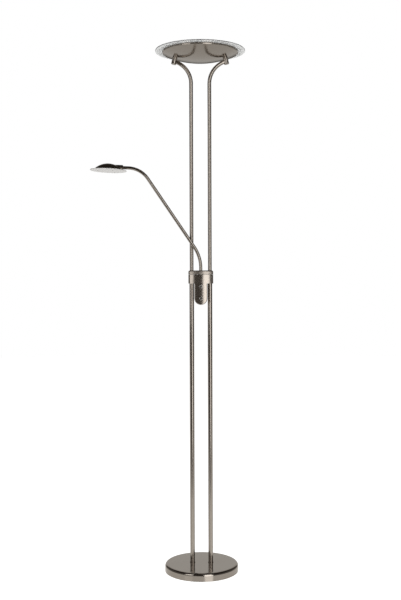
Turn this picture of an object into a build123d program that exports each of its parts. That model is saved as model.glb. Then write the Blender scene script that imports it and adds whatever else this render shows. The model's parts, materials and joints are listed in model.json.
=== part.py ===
from build123d import *
import math
import os

# Torchiere floor lamp with a reading light, in millimetres. The lamp stands on Z = 0, +Z is up,
# its front (the knobs) faces -Y and the reading arm points to -X. The origin is on the floor,
# midway between the two poles.

# ---------------------------------------------------------------- overall sizes
TOTAL_HEIGHT = 1800.0          # floor to the top of the glass disc
POLE_SPACING = 63.0            # between the axes of the two poles
FIT_GAP = 0.05                 # radial clearance of parts that fit in one another
SEAM_GAP = 0.3                 # clearance at seams and loose seats
OVERCUT = 1.0                  # how far a cutting shape runs past the face that it cuts
PATTERN_START = 90.0           # degrees from +X to the first place on a circle

# ---------------------------------------------------------------- base
BASE_DIAMETER = 255.0
BASE_HEIGHT = 28.0
BASE_EDGE_RADIUS = 10.0
BASE_WALL = 1.5
SKIRT_LIFT = 1.0               # floor to the lower edge of the shell
PAD_THICKNESS = 2.5
BASE_PLATE_THICKNESS = 1.2
WEIGHT_THICKNESS = 14.0
WEIGHT_BOSS_RADIUS = 6.0
WEIGHT_SIDE_GAP = 1.0
BASE_SCREW_CIRCLE = 95.0       # radius of the circle of the cover plate's screws
BASE_SCREW_COUNT = 3
BASE_SCREW_RADIUS = 2.0
BASE_SCREW_HEAD_RADIUS = 4.0
BASE_SCREW_HEAD_HEIGHT = 1.6
BASE_SCREW_GRIP = 6.0          # depth that the screw reaches into the weight
PAD_HOLE_MARGIN = 1.0          # room around a screw head in the pad
GROMMET_BORE_RADIUS = 3.6
GROMMET_NECK_RADIUS = 4.5
GROMMET_FLANGE_RADIUS = 5.6
GROMMET_FLANGE = 2.0
GROMMET_HEIGHT = 8.4           # floor to the grommet's axis
GROMMET_ROOM = 3.0             # free space around the grommet's inner flange

# ---------------------------------------------------------------- poles
LOWER_POLE_RADIUS = 8.0
LOWER_POLE_WALL = 1.2
UPPER_POLE_RADIUS = 6.5
UPPER_POLE_WALL = 1.0
POLE_JOINT_Z = 1021.0          # top of the lower tubes, inside the collar
JOINER_FLANGE = 4.0
JOINER_SPIGOT = 25.0
JOINER_BORE_RADIUS = 3.4
STUD_RADIUS = 5.0
STUD_BORE_RADIUS = 3.0
STUD_PLUG_LENGTH = 30.0
STUD_END_Z = 4.6
STUD_NUT_ACROSS = 17.0
STUD_NUT_HEIGHT = 7.0
STUD_FLANGE_RADIUS = 11.0
STUD_FLANGE = 1.8
FOOT_RING_RADIUS = 9.6
FOOT_RING_HEIGHT = 2.5
TOP_BEND_RADIUS = 79.0
TOP_BEND_TURN = 67.0           # degrees that each upper pole bends outward
BEND_END_RISE = 6.92           # post's lower end to the end of the bend
WIRE_RADIUS = 2.4

# ---------------------------------------------------------------- collar and tongue
COLLAR_WIDTH = 85.5
COLLAR_FRONT = 26.0            # pole axis to the front of the collar
COLLAR_BACK = 13.0             # pole axis to the back of the collar
COLLAR_FRONT_ARC = 105.0       # radius of the curved front, seen from above
COLLAR_CORNER = 9.0
COLLAR_WALL = 1.5
COLLAR_TOP_Z = 1044.0
COLLAR_HEIGHT = 45.0
CAP_HEIGHT = 14.0
CAP_TOP_THICKNESS = 2.0
CAP_EDGE_RADIUS = 5.0
CAP_CHAMFER = 0.5              # lower edge of the cap, at the seam
CAP_SEAM = 0.6
TONGUE_WIDTH = 45.0
TONGUE_BOTTOM_Z = 925.5
TONGUE_BACK_Y = -3.0
TONGUE_EDGE_RADIUS = 3.0
BACK_PLATE_THICKNESS = 1.5
BLOCK_HEIGHT = 16.0
BLOCK_BOTTOM_Z = 1013.0
BLOCK_REAR_Y = 6.0             # rear face of the block's middle part
BLOCK_POCKET_HALF = 17.5
WIRE_SLOT_HALF = 9.0
WIRE_SLOT_FRONT_Y = -3.0
COVER_STUD_X = 14.0
COVER_STUD_RADIUS = 1.5
COVER_STUD_END_Y = 9.5
COVER_NUT_ACROSS = 5.5
COVER_NUT_HEIGHT = 2.4
REAR_SCREW_X = 20.0
REAR_SCREW_TIP_Y = 3.0
CAP_SCREW_X = 18.5
CAP_SCREW_Y = -8.0
CAP_BOSS_RADIUS = 3.0
CAP_SCREW_GRIP = 7.0
SMALL_SCREW_RADIUS = 1.5
SMALL_HEAD_RADIUS = 2.8
SMALL_HEAD_HEIGHT = 1.8
GRUB_RADIUS = 2.0

# ---------------------------------------------------------------- dimmers and knobs
DIMMER_Z = {"uplight": 989.0, "reading": 948.0}
DIMMER_SIDE = 16.0
DIMMER_DEPTH = 9.0
DIMMER_BUSH_RADIUS = 4.4
SHAFT_RADIUS = 3.0
SHAFT_BLIND = 2.0              # thickness left behind the shaft's end
BOARD_FRONT_Y = -14.0
BOARD_THICKNESS = 1.6
BOARD_WIDTH = 32.0
BOARD_BOTTOM_Z = 938.5
BOARD_TOP_Z = 997.5
BOARD_POST_RADIUS = 2.8
BACK_SCREW_GRIP = 8.0
CHOKE_RADIUS = 6.0
CHOKE_BELOW_TOP = 12.5         # upper edge of the board to the choke's axis
CAPACITOR_WIDTH = 14.0
CAPACITOR_HEIGHT = 9.0
CAPACITOR_RISE = 7.5           # lower edge of the board to the capacitor
SWITCH_WIDTH = 5.0
SWITCH_HEIGHT = 14.0
SWITCH_EDGE_GAP = 1.5          # side of the board to the switching device
SWITCH_BELOW_TOP = 7.5
COMPONENT_GAP = 1.5            # components to the back plate
BOARD_POST_Z = (933.5, 968.5)
STANDOFF_X = 11.0
STANDOFF_RADIUS = 3.0
STANDOFF_DEPTH = 5.0           # depth of the screw hole in a standoff
KNOB_RADIUS = 6.0
KNOB_LENGTH = 10.5
KNOB_LIFT = 0.8                # tongue to the rear of the knob
KNOB_CHAMFER = 0.8
KNOB_PLAIN_BAND = 2.0          # smooth length behind the flutes
KNOB_FLUTES = 18
KNOB_FLUTE_RADIUS = 0.45
KNOB_DISH_RADIUS = 3.4
KNOB_DISH_DEPTH = 0.8
KNOB_SHAFT_REACH = 6.0         # length of shaft inside the knob

# ---------------------------------------------------------------- reading arm
ARM_Y = -15.0                  # the arm's plane, in front of the poles
ARM_RADIUS = 5.5
ARM_WALL = 1.0
ARM_BOTTOM_Z = 1003.0
ARM_KNEE_Z = 1091.6            # height of the lower corner, before it is rounded
ARM_TOP_Z = 1395.0             # height of the upper corner, before it is rounded
ARM_SLOPE = 56.0               # degrees above horizontal of the long straight
ARM_END_SLOPE = 2.4            # degrees above horizontal of the end
ARM_KNEE_RADIUS = 130.0
ARM_TOP_RADIUS = 85.0
ARM_WIRE_RADIUS = 2.4
BUSH_RADIUS = 8.0
BUSH_FLANGE_RADIUS = 9.4
BUSH_FLANGE = 2.0
BUSH_BELOW = 4.0               # length of the bush below the block
THRUST_COLLAR_RADIUS = 8.0
THRUST_COLLAR_HEIGHT = 6.0
RETAINER_RADIUS = 7.5
RETAINER_HEIGHT = 4.5
FRICTION_WASHER = 0.9

# ---------------------------------------------------------------- reading head
HEAD_REACH = 316.0             # pole centre to the centre of the reading head
HEAD_AXIS_RISE = 11.5          # tube axis above the middle of the diffuser
DIFFUSER_RADIUS = 62.5
DIFFUSER_THICKNESS = 3.0
SHADE_RIM_RADIUS = 50.0
SHADE_RIM_LIFT = 0.5           # diffuser to the shade's rim
SHADE_APEX = 23.8              # middle of the diffuser to the shade's top
SHADE_WALL = 1.2
NECK_RADIUS = 9.0
NECK_END = 49.7                # head centre to the neck's end face
NECK_END_WALL = 1.5
ARM_END_IN_NECK = 7.7          # length of tube inside the neck
PIVOT_BLOCK_LENGTH = 14.0
NIPPLE_RADIUS = 4.0
NIPPLE_BORE_RADIUS = 2.6
NIPPLE_IN_TUBE = 18.0
PIVOT_NUT_RADIUS = 5.4
PIVOT_NUT_LENGTH = 5.0
NIPPLE_PAST_NUT = 1.0
READING_PLATE_THICKNESS = 1.0
READING_PLATE_BOTTOM = 4.6
READING_BOARD_RADIUS = 40.0
READING_BOARD_THICKNESS = 1.0
READING_SPACER_CIRCLE = 36.0
READING_SPACER_COUNT = 3
READING_SPACER_RADIUS = 2.2
READING_SCREW_RADIUS = 1.0
READING_SCREW_HEAD_RADIUS = 2.4
READING_SCREW_HEAD_HEIGHT = 1.1
READING_SCREW_HEAD_EDGE = 0.6
DIFFUSER_CHAMFER = 0.4
READING_LED_CIRCLE = 22.0
READING_LED_COUNT = 8
LED_SIDE = 3.5
LED_THICKNESS = 0.7

# ---------------------------------------------------------------- uplighter head
GLASS_RADIUS = 154.5
GLASS_THICKNESS = 3.0
GASKET_THICKNESS = 0.5
GASKET_LIP = 2.0               # how far the gasket reaches inside the bowl's wall
GLASS_CHAMFER = 0.5
BOWL_RADIUS = 130.3
BOWL_SPHERE_RADIUS = 325.7
BOWL_RIM_BAND = 5.5            # upright rim above the bowl's curve
BOWL_WALL = 1.2
BOWL_EDGE_RADIUS = 2.5
POST_RADIUS = 8.5
POST_LEAN = 13.0               # degrees, lower end outward
POST_FROM_BEND = 12.07         # end of the bend to the post's lower end, outward
POST_FOOT_DROP = 10.5          # bottom of the bowl to the post's lower end
POST_EDGE_RADIUS = 1.0
POST_TUBE_DEPTH = 5.0          # length of tube inside the post
POST_NIPPLE_RADIUS = 5.0
POST_NIPPLE_BORE_RADIUS = 3.0
POST_NIPPLE_GRIP = 5.0         # length of nipple inside the post
POST_NIPPLE_RISE = 8.0         # length of nipple above the bowl's inside
POST_NUT_ACROSS = 14.0
POST_NUT_HEIGHT = 5.0
POST_NUT_LIFT = 1.2            # the bowl's curve rises under the flange
POST_FLANGE_RADIUS = 9.0
POST_FLANGE = 1.2
POST_NUT_ROOM = 3.0            # room around each nut in the plates above it
PLATE_RADIUS = 100.0
PLATE_THICKNESS = 2.0
PLATE_BELOW_GLASS = 9.0        # glass to the top of the light board
LIGHT_BOARD_RADIUS = 90.0
LIGHT_BOARD_THICKNESS = 1.6
LIGHT_RING_RADII = (30.0, 52.0, 74.0)
LIGHT_RING_COUNTS = (6, 10, 14)
PILLAR_CIRCLE = 96.0
PILLAR_RADIUS = 3.0
PILLAR_COUNT = 3
PILLAR_FLOOR = 2.0             # solid length under the screw hole
PILLAR_SCREW_LIFT = 3.0        # bowl to the screw's tip
DRIVER_LENGTH = 96.0
DRIVER_WIDTH = 42.0
DRIVER_HEIGHT = 11.0
DRIVER_SCREW_SPREAD = 54.0
DRIVER_SCREW_GRIP = 4.0
DRIVER_CORNER = 2.0
DRIVER_EAR_WIDTH = 12.0
DRIVER_EAR_THICKNESS = 2.0
DRIVER_EAR_MARGIN = 2.0        # past the screw's head

# ---------------------------------------------------------------- places worked out from the sizes
POLE_X = POLE_SPACING / 2
BASE_RADIUS = BASE_DIAMETER / 2
SHELL_INSIDE_Z = BASE_HEIGHT - BASE_WALL
WEIGHT_BOTTOM_Z = SHELL_INSIDE_Z - WEIGHT_THICKNESS
BASE_PLATE_TOP_Z = PAD_THICKNESS + BASE_PLATE_THICKNESS
UPPER_POLE_START_Z = POLE_JOINT_Z + JOINER_FLANGE
COLLAR_BOTTOM_Z = COLLAR_TOP_Z - COLLAR_HEIGHT
CAP_BOTTOM_Z = COLLAR_TOP_Z - CAP_HEIGHT
COVER_TOP_Z = CAP_BOTTOM_Z - CAP_SEAM
CAP_INSIDE_Z = COLLAR_TOP_Z - CAP_TOP_THICKNESS
BLOCK_TOP_Z = BLOCK_BOTTOM_Z + BLOCK_HEIGHT
BLOCK_MIDDLE_Z = BLOCK_BOTTOM_Z + BLOCK_HEIGHT / 2
ARC_CENTRE_Y = COLLAR_FRONT_ARC - COLLAR_FRONT
THRUST_Z = BLOCK_TOP_Z + BUSH_FLANGE
BUSH_BOTTOM_Z = BLOCK_BOTTOM_Z - BUSH_BELOW
GLASS_BOTTOM_Z = TOTAL_HEIGHT - GLASS_THICKNESS
BOWL_RIM_Z = GLASS_BOTTOM_Z - GASKET_THICKNESS
BOWL_SAG = BOWL_SPHERE_RADIUS - math.sqrt(BOWL_SPHERE_RADIUS ** 2 - BOWL_RADIUS ** 2)
BOWL_BOTTOM_Z = BOWL_RIM_Z - BOWL_RIM_BAND - BOWL_SAG
POST_FOOT_Z = BOWL_BOTTOM_Z - POST_FOOT_DROP
BEND_WIDTH = TOP_BEND_RADIUS * (1 - math.cos(math.radians(TOP_BEND_TURN)))
BEND_HEIGHT = TOP_BEND_RADIUS * math.sin(math.radians(TOP_BEND_TURN))
BEND_END_X = POLE_X + BEND_WIDTH
BEND_END_Z = POST_FOOT_Z + BEND_END_RISE
TOP_BEND_START_Z = BEND_END_Z - BEND_HEIGHT
POST_FOOT_X = BEND_END_X + POST_FROM_BEND
SHADE_RIM = DIFFUSER_THICKNESS / 2 + SHADE_RIM_LIFT
READING_PLATE_TOP = READING_PLATE_BOTTOM + READING_PLATE_THICKNESS
BOARD_BACK_Y = BOARD_FRONT_Y + BOARD_THICKNESS
BACK_PLATE_FRONT_Y = TONGUE_BACK_Y - BACK_PLATE_THICKNESS
LIGHT_BOARD_TOP_Z = GLASS_BOTTOM_Z - PLATE_BELOW_GLASS
PLATE_TOP_Z = LIGHT_BOARD_TOP_Z - LIGHT_BOARD_THICKNESS
PLATE_BOTTOM_Z = PLATE_TOP_Z - PLATE_THICKNESS
SIDES = (-1, 1)


# ---------------------------------------------------------------- helpers
def rod(radius, z_low, z_high, x=0.0, y=0.0):
    """Upright cylinder between two heights."""
    height = z_high - z_low
    return Pos(x, y, z_low + height / 2) * Cylinder(radius, height)


def ring(outer, inner, z_low, z_high, x=0.0, y=0.0):
    """Upright hollow cylinder."""
    return rod(outer, z_low, z_high, x, y) - rod(inner, z_low - OVERCUT, z_high + OVERCUT, x, y)


def rod_y(radius, y_low, y_high, x=0.0, z=0.0):
    """Cylinder along Y between two depths."""
    length = y_high - y_low
    return Pos(x, y_low + length / 2, z) * Rot(90, 0, 0) * Cylinder(radius, length)


def rod_x(radius, x_low, x_high, y=0.0, z=0.0):
    """Cylinder along X between two places."""
    length = x_high - x_low
    return Pos(x_low + length / 2, y, z) * Rot(0, 90, 0) * Cylinder(radius, length)


def block(x_low, x_high, y_low, y_high, z_low, z_high):
    """Box between two corners."""
    centre = Pos((x_low + x_high) / 2, (y_low + y_high) / 2, (z_low + z_high) / 2)
    return centre * Box(x_high - x_low, y_high - y_low, z_high - z_low)


def hexagon(across_flats, z_low, z_high, x=0.0, y=0.0):
    """Upright hexagonal prism."""
    face = RegularPolygon(across_flats / 2, 6, major_radius=False)
    return Pos(x, y, z_low) * extrude(face, z_high - z_low)


def on_circle(radius, count, start=PATTERN_START):
    """Points evenly spaced on a circle about the Z axis."""
    step = 360 / count
    angles = [math.radians(start + step * i) for i in range(count)]
    return [(radius * math.cos(a), radius * math.sin(a)) for a in angles]


def first_solid(shape):
    """The one solid that a cut or a joined shape consists of."""
    return shape.solids().sort_by(SortBy.VOLUME)[-1]


def group(shapes):
    """Separate solids kept together under one name."""
    return Compound(children=[first_solid(shape) for shape in shapes])


# ---------------------------------------------------------------- base
def stud_places():
    return [(side * POLE_X, 0.0) for side in SIDES]


def base_shell():
    outer = rod(BASE_RADIUS, SKIRT_LIFT, BASE_HEIGHT)
    outer = fillet(outer.edges().sort_by(Axis.Z)[-1], BASE_EDGE_RADIUS)
    inner = rod(BASE_RADIUS - BASE_WALL, SKIRT_LIFT - OVERCUT, SHELL_INSIDE_Z)
    inner = fillet(inner.edges().sort_by(Axis.Z)[-1], BASE_EDGE_RADIUS - BASE_WALL)
    shell = outer - inner
    for x, y in stud_places():
        shell -= rod(STUD_RADIUS + SEAM_GAP, 0, BASE_HEIGHT + OVERCUT, x, y)
    hole_start = BASE_RADIUS / 2
    hole_end = BASE_RADIUS + OVERCUT
    return shell - rod_y(GROMMET_NECK_RADIUS + SEAM_GAP, hole_start, hole_end, 0, GROMMET_HEIGHT)


def grommet_notch():
    """Room behind the grommet in the weight and in the cover plate."""
    half = GROMMET_FLANGE_RADIUS + GROMMET_ROOM
    front = BASE_RADIUS - BASE_WALL - SEAM_GAP - GROMMET_FLANGE - GROMMET_ROOM
    return block(-half, half, front, BASE_RADIUS, PAD_THICKNESS, GROMMET_HEIGHT + half)


def base_screw_places():
    return on_circle(BASE_SCREW_CIRCLE, BASE_SCREW_COUNT)


def base_weight():
    edge = BASE_EDGE_RADIUS - BASE_WALL
    weight = rod(BASE_RADIUS - BASE_WALL - WEIGHT_SIDE_GAP, WEIGHT_BOTTOM_Z, SHELL_INSIDE_Z)
    weight = fillet(weight.edges().sort_by(Axis.Z)[-1], edge)
    for x, y in base_screw_places():
        weight += rod(WEIGHT_BOSS_RADIUS, BASE_PLATE_TOP_Z, WEIGHT_BOTTOM_Z, x, y)
        weight -= rod(BASE_SCREW_RADIUS + FIT_GAP, 0, WEIGHT_BOTTOM_Z + BASE_SCREW_GRIP + OVERCUT, x, y)
    for x, y in stud_places():
        weight -= rod(STUD_RADIUS + SEAM_GAP, 0, BASE_HEIGHT, x, y)
    return weight - grommet_notch()


def base_cover_plate():
    plate = rod(BASE_RADIUS - BASE_WALL - SEAM_GAP, PAD_THICKNESS, BASE_PLATE_TOP_Z)
    for x, y in base_screw_places():
        plate -= rod(BASE_SCREW_RADIUS + FIT_GAP, 0, BASE_HEIGHT, x, y)
    return plate - grommet_notch()


def base_pad():
    pad = rod(BASE_RADIUS - BASE_WALL - SEAM_GAP, 0, PAD_THICKNESS)
    for x, y in base_screw_places():
        pad -= rod(BASE_SCREW_HEAD_RADIUS + PAD_HOLE_MARGIN, -OVERCUT, BASE_HEIGHT, x, y)
    return pad


def base_screws():
    tip = WEIGHT_BOTTOM_Z + BASE_SCREW_GRIP
    screws = []
    for x, y in base_screw_places():
        head = rod(BASE_SCREW_HEAD_RADIUS, PAD_THICKNESS - BASE_SCREW_HEAD_HEIGHT, PAD_THICKNESS, x, y)
        screws.append(head + rod(BASE_SCREW_RADIUS, PAD_THICKNESS, tip, x, y))
    return group(screws)


def cord_grommet():
    outside = BASE_RADIUS + FIT_GAP
    inside = BASE_RADIUS - BASE_WALL - SEAM_GAP
    outer_end = outside + GROMMET_FLANGE
    inner_end = inside - GROMMET_FLANGE
    body = rod_y(GROMMET_FLANGE_RADIUS, outside, outer_end, 0, GROMMET_HEIGHT)
    body += rod_y(GROMMET_NECK_RADIUS, inner_end, outer_end, 0, GROMMET_HEIGHT)
    body += rod_y(GROMMET_FLANGE_RADIUS, inner_end, inside, 0, GROMMET_HEIGHT)
    return body - rod_y(GROMMET_BORE_RADIUS, 0, TOTAL_HEIGHT, 0, GROMMET_HEIGHT)


# ---------------------------------------------------------------- poles
def foot_studs():
    plug_radius = LOWER_POLE_RADIUS - LOWER_POLE_WALL - FIT_GAP
    studs = []
    for x, y in stud_places():
        stud = rod(plug_radius, BASE_HEIGHT, BASE_HEIGHT + STUD_PLUG_LENGTH, x, y)
        stud += rod(STUD_RADIUS, STUD_END_Z, BASE_HEIGHT, x, y)
        studs.append(stud - rod(STUD_BORE_RADIUS, 0, TOTAL_HEIGHT, x, y))
    return group(studs)


def flanged_nut(across, height, flange_radius, flange, hole):
    """Upright hexagon nut with a round flange at its lower end, seat at Z = 0."""
    nut = rod(flange_radius, 0, flange) + hexagon(across, flange, height)
    return nut - rod(hole, -OVERCUT, height + OVERCUT)


def stud_nuts():
    hole = STUD_RADIUS + FIT_GAP
    nut = flanged_nut(STUD_NUT_ACROSS, STUD_NUT_HEIGHT, STUD_FLANGE_RADIUS, STUD_FLANGE, hole)
    return group([Pos(x, y, WEIGHT_BOTTOM_Z) * Rot(180, 0, 0) * nut for x, y in stud_places()])


def foot_rings():
    rings = []
    hole = LOWER_POLE_RADIUS + FIT_GAP
    for x, y in stud_places():
        outer = rod(FOOT_RING_RADIUS, BASE_HEIGHT, BASE_HEIGHT + FOOT_RING_HEIGHT, x, y)
        outer = chamfer(outer.edges().sort_by(Axis.Z)[-1], (FOOT_RING_RADIUS - hole) / 2)
        rings.append(outer - rod(hole, 0, TOTAL_HEIGHT, x, y))
    return group(rings)


def lower_pole(side):
    inner = LOWER_POLE_RADIUS - LOWER_POLE_WALL
    return ring(LOWER_POLE_RADIUS, inner, BASE_HEIGHT, POLE_JOINT_Z, side * POLE_X)


def pole_joiners():
    joiners = []
    top = UPPER_POLE_START_Z + JOINER_SPIGOT
    for side in SIDES:
        x = side * POLE_X
        low = POLE_JOINT_Z - JOINER_SPIGOT
        joiner = rod(LOWER_POLE_RADIUS - LOWER_POLE_WALL - FIT_GAP, low, POLE_JOINT_Z, x)
        joiner += rod(LOWER_POLE_RADIUS, POLE_JOINT_Z, UPPER_POLE_START_Z, x)
        joiner += rod(UPPER_POLE_RADIUS - UPPER_POLE_WALL - FIT_GAP, UPPER_POLE_START_Z, top, x)
        joiners.append(joiner - rod(JOINER_BORE_RADIUS, 0, TOTAL_HEIGHT, x))
    return group(joiners)


def post_axis_point(distance, side):
    """Point on a head post's axis, measured from its lower end."""
    lean = math.radians(POST_LEAN)
    x = side * (POST_FOOT_X - distance * math.sin(lean))
    return Vector(x, 0, POST_FOOT_Z + distance * math.cos(lean))


def upper_pole_path(side, offset=0.0, low=UPPER_POLE_START_Z):
    """Straight pole, outward bend and short straight into the post."""
    turn = math.radians(TOP_BEND_TURN)
    start_x = POLE_X - offset
    radius = TOP_BEND_RADIUS + offset
    centre_x = POLE_X + TOP_BEND_RADIUS
    bend_end = Vector(side * (centre_x - radius * math.cos(turn)), 0,
                      TOP_BEND_START_Z + radius * math.sin(turn))
    middle = Vector(side * (centre_x - radius * math.cos(turn / 2)), 0,
                    TOP_BEND_START_Z + radius * math.sin(turn / 2))
    bend_start = Vector(side * start_x, 0, TOP_BEND_START_Z)
    along = Vector(side * math.sin(turn), 0, math.cos(turn))
    straight = Line(Vector(side * start_x, 0, low), bend_start)
    bend = ThreePointArc(bend_start, middle, bend_end)
    tail = Line(bend_end, bend_end + along * tube_tail())
    return Wire([straight.edge(), bend.edge(), tail.edge()])


def tube_tail():
    """Straight length past the bend that ends at the wanted depth inside the post."""
    turn = math.radians(TOP_BEND_TURN)
    lean = math.radians(POST_LEAN)
    along_x = math.sin(turn)
    along_z = math.cos(turn)
    across = POST_FROM_BEND * math.cos(lean) - BEND_END_RISE * math.sin(lean)
    closing = along_x * math.cos(lean) + along_z * math.sin(lean)
    return (across - POST_RADIUS + POST_TUBE_DEPTH) / closing


def upper_pole(side):
    path = upper_pole_path(side)
    start = Plane(origin=path @ 0, z_dir=path % 0)
    outer = sweep(start * Circle(UPPER_POLE_RADIUS), path=path)
    inner = sweep(start * Circle(UPPER_POLE_RADIUS - UPPER_POLE_WALL), path=path)
    return first_solid(outer - inner)


def pole_wires():
    """Mains lead up the left pole and the head's lead above it, each along its tube's wall."""
    top = UPPER_POLE_START_Z + JOINER_SPIGOT
    x = -POLE_X + STUD_BORE_RADIUS - WIRE_RADIUS - FIT_GAP
    mains = rod(WIRE_RADIUS, STUD_END_Z, top, x)
    room = UPPER_POLE_RADIUS - UPPER_POLE_WALL - WIRE_RADIUS - 2 * FIT_GAP
    path = upper_pole_path(-1, offset=room, low=top + SEAM_GAP)
    start = Plane(origin=path @ 0, z_dir=path % 0)
    return group([mains, sweep(start * Circle(WIRE_RADIUS), path=path)])


# ---------------------------------------------------------------- collar
def collar_outline(inset):
    """Plan of the collar: curved front, straight sides and back, round corners."""
    half = COLLAR_WIDTH / 2 - inset
    back = COLLAR_BACK - inset
    plan = Pos(0, back - COLLAR_FRONT_ARC / 2) * Rectangle(2 * half, COLLAR_FRONT_ARC)
    plan &= Pos(0, ARC_CENTRE_Y) * Circle(COLLAR_FRONT_ARC - inset)
    return fillet(plan.vertices(), COLLAR_CORNER - inset)


def collar_prism(inset, z_low, z_high):
    return Pos(0, 0, z_low) * extrude(collar_outline(inset), z_high - z_low)


def pole_holes(radius):
    holes = [rod(radius, COLLAR_BOTTOM_Z - OVERCUT, COLLAR_TOP_Z + OVERCUT, side * POLE_X) for side in SIDES]
    return Compound(children=[first_solid(hole) for hole in holes])


def cap_screw_places():
    return [(side * CAP_SCREW_X, CAP_SCREW_Y) for side in SIDES]


def round_topped_prism(inset, z_low, z_high):
    prism = collar_prism(inset, z_low, z_high)
    return fillet(prism.faces().sort_by(Axis.Z)[-1].edges(), CAP_EDGE_RADIUS - inset)


def top_cap():
    cap = round_topped_prism(0, CAP_BOTTOM_Z, COLLAR_TOP_Z)
    cap = chamfer(cap.faces().sort_by(Axis.Z)[0].edges(), CAP_CHAMFER)
    cap -= round_topped_prism(COLLAR_WALL, CAP_BOTTOM_Z - OVERCUT, CAP_INSIDE_Z)
    for x, y in cap_screw_places():
        cap += rod(CAP_BOSS_RADIUS, BLOCK_TOP_Z, CAP_INSIDE_Z, x, y)
        cap -= rod(SMALL_SCREW_RADIUS + FIT_GAP, 0, BLOCK_TOP_Z + CAP_SCREW_GRIP + FIT_GAP, x, y)
    cap -= pole_holes(UPPER_POLE_RADIUS + SEAM_GAP)
    return cap - rod(ARM_RADIUS + SEAM_GAP, 0, TOTAL_HEIGHT, 0, ARM_Y)


def tongue_solid(inset):
    """The tongue as a full solid: round-ended front view, curved front face."""
    half = TONGUE_WIDTH / 2 - inset
    round_z = TONGUE_BOTTOM_Z + TONGUE_WIDTH / 2
    back = TONGUE_BACK_Y + (OVERCUT if inset else 0)
    body = rod_y(half, -COLLAR_FRONT_ARC, back, 0, round_z)
    body += block(-half, half, -COLLAR_FRONT_ARC, back, round_z, COLLAR_BOTTOM_Z)
    body &= rod(COLLAR_FRONT_ARC - inset, 0, COLLAR_BOTTOM_Z, 0, ARC_CENTRE_Y)
    front = [edge for edge in body.edges() if is_tongue_front(edge, half)]
    return fillet(front, TONGUE_EDGE_RADIUS - inset)


def is_tongue_front(edge, half):
    """True for the long edges round the tongue's front face, but not its top edge."""
    middle = edge @ 0.5
    at_front = middle.Y < (TONGUE_BACK_Y - COLLAR_FRONT) / 2
    at_top = edge.bounding_box().min.Z > COLLAR_BOTTOM_Z - OVERCUT
    return at_front and not at_top


def front_cover():
    cover = cover_shell() & block(-TOTAL_HEIGHT, TOTAL_HEIGHT, -TOTAL_HEIGHT, -SEAM_GAP / 2, 0, TOTAL_HEIGHT)
    opening_half = TONGUE_WIDTH / 2 - COLLAR_WALL
    front_inside = collar_prism(COLLAR_WALL, COLLAR_BOTTOM_Z - OVERCUT, COVER_TOP_Z)
    opening = block(-opening_half, opening_half, -COLLAR_FRONT, TONGUE_BACK_Y + COLLAR_WALL,
                    COLLAR_BOTTOM_Z - OVERCUT, COVER_TOP_Z)
    cover -= front_inside & opening
    cover += tongue_solid(0) - tongue_solid(COLLAR_WALL)
    post_start = -COLLAR_FRONT + COLLAR_WALL / 2
    for z in BOARD_POST_Z:
        cover += rod_y(BOARD_POST_RADIUS, post_start, BACK_PLATE_FRONT_Y, 0, z)
        cover -= rod_y(SMALL_SCREW_RADIUS + FIT_GAP, BACK_PLATE_FRONT_Y - BACK_SCREW_GRIP - FIT_GAP, 0, 0, z)
    for z in DIMMER_Z.values():
        cover -= rod_y(SHAFT_RADIUS + SEAM_GAP, -TOTAL_HEIGHT, BOARD_FRONT_Y, 0, z)
    for side in SIDES:
        x = side * COVER_STUD_X
        cover += rod_y(COVER_STUD_RADIUS, stud_root_y(), COVER_STUD_END_Y, x, BLOCK_MIDDLE_Z)
    return first_solid(cover)


def stud_root_y():
    """Middle of the front wall where a cover stud is welded to it."""
    radius = COLLAR_FRONT_ARC - COLLAR_WALL / 2
    return ARC_CENTRE_Y - math.sqrt(radius ** 2 - COVER_STUD_X ** 2)


def cover_shell():
    """Walls and floor of the collar below the cap, before it is parted."""
    outer = collar_prism(0, COLLAR_BOTTOM_Z, COVER_TOP_Z)
    inner = collar_prism(COLLAR_WALL, COLLAR_BOTTOM_Z + COLLAR_WALL, COVER_TOP_Z + OVERCUT)
    return outer - inner - pole_holes(LOWER_POLE_RADIUS + SEAM_GAP)


def rear_cover():
    cover = cover_shell() & block(-TOTAL_HEIGHT, TOTAL_HEIGHT, SEAM_GAP / 2, TOTAL_HEIGHT, 0, TOTAL_HEIGHT)
    for side in SIDES:
        cover -= rod_y(SMALL_SCREW_RADIUS + FIT_GAP, 0, TOTAL_HEIGHT, side * REAR_SCREW_X, BLOCK_MIDDLE_Z)
    return first_solid(cover)


def collar_block():
    body = collar_prism(COLLAR_WALL + SEAM_GAP, BLOCK_BOTTOM_Z, BLOCK_TOP_Z)
    pocket = BLOCK_POCKET_HALF
    body -= block(-pocket, pocket, BLOCK_REAR_Y, TOTAL_HEIGHT, 0, TOTAL_HEIGHT)
    body -= block(-WIRE_SLOT_HALF, WIRE_SLOT_HALF, WIRE_SLOT_FRONT_Y, TOTAL_HEIGHT, 0, TOTAL_HEIGHT)
    body -= pole_holes(LOWER_POLE_RADIUS + FIT_GAP)
    body -= rod(BUSH_RADIUS + FIT_GAP, 0, TOTAL_HEIGHT, 0, ARM_Y)
    stud_hole = COVER_STUD_RADIUS + SEAM_GAP
    screw_hole = SMALL_SCREW_RADIUS + FIT_GAP
    screw_end = REAR_SCREW_TIP_Y - FIT_GAP
    for side in SIDES:
        body -= rod_y(stud_hole, -TOTAL_HEIGHT, TOTAL_HEIGHT, side * COVER_STUD_X, BLOCK_MIDDLE_Z)
        body -= rod_y(screw_hole, screw_end, TOTAL_HEIGHT, side * REAR_SCREW_X, BLOCK_MIDDLE_Z)
        body -= rod_y(GRUB_RADIUS + FIT_GAP, 0, TOTAL_HEIGHT, side * POLE_X, grub_z())
    for x, y in cap_screw_places():
        body -= rod(SMALL_SCREW_RADIUS + FIT_GAP, 0, TOTAL_HEIGHT, x, y)
    return body


def grub_z():
    return (BLOCK_BOTTOM_Z + POLE_JOINT_Z) / 2


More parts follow.
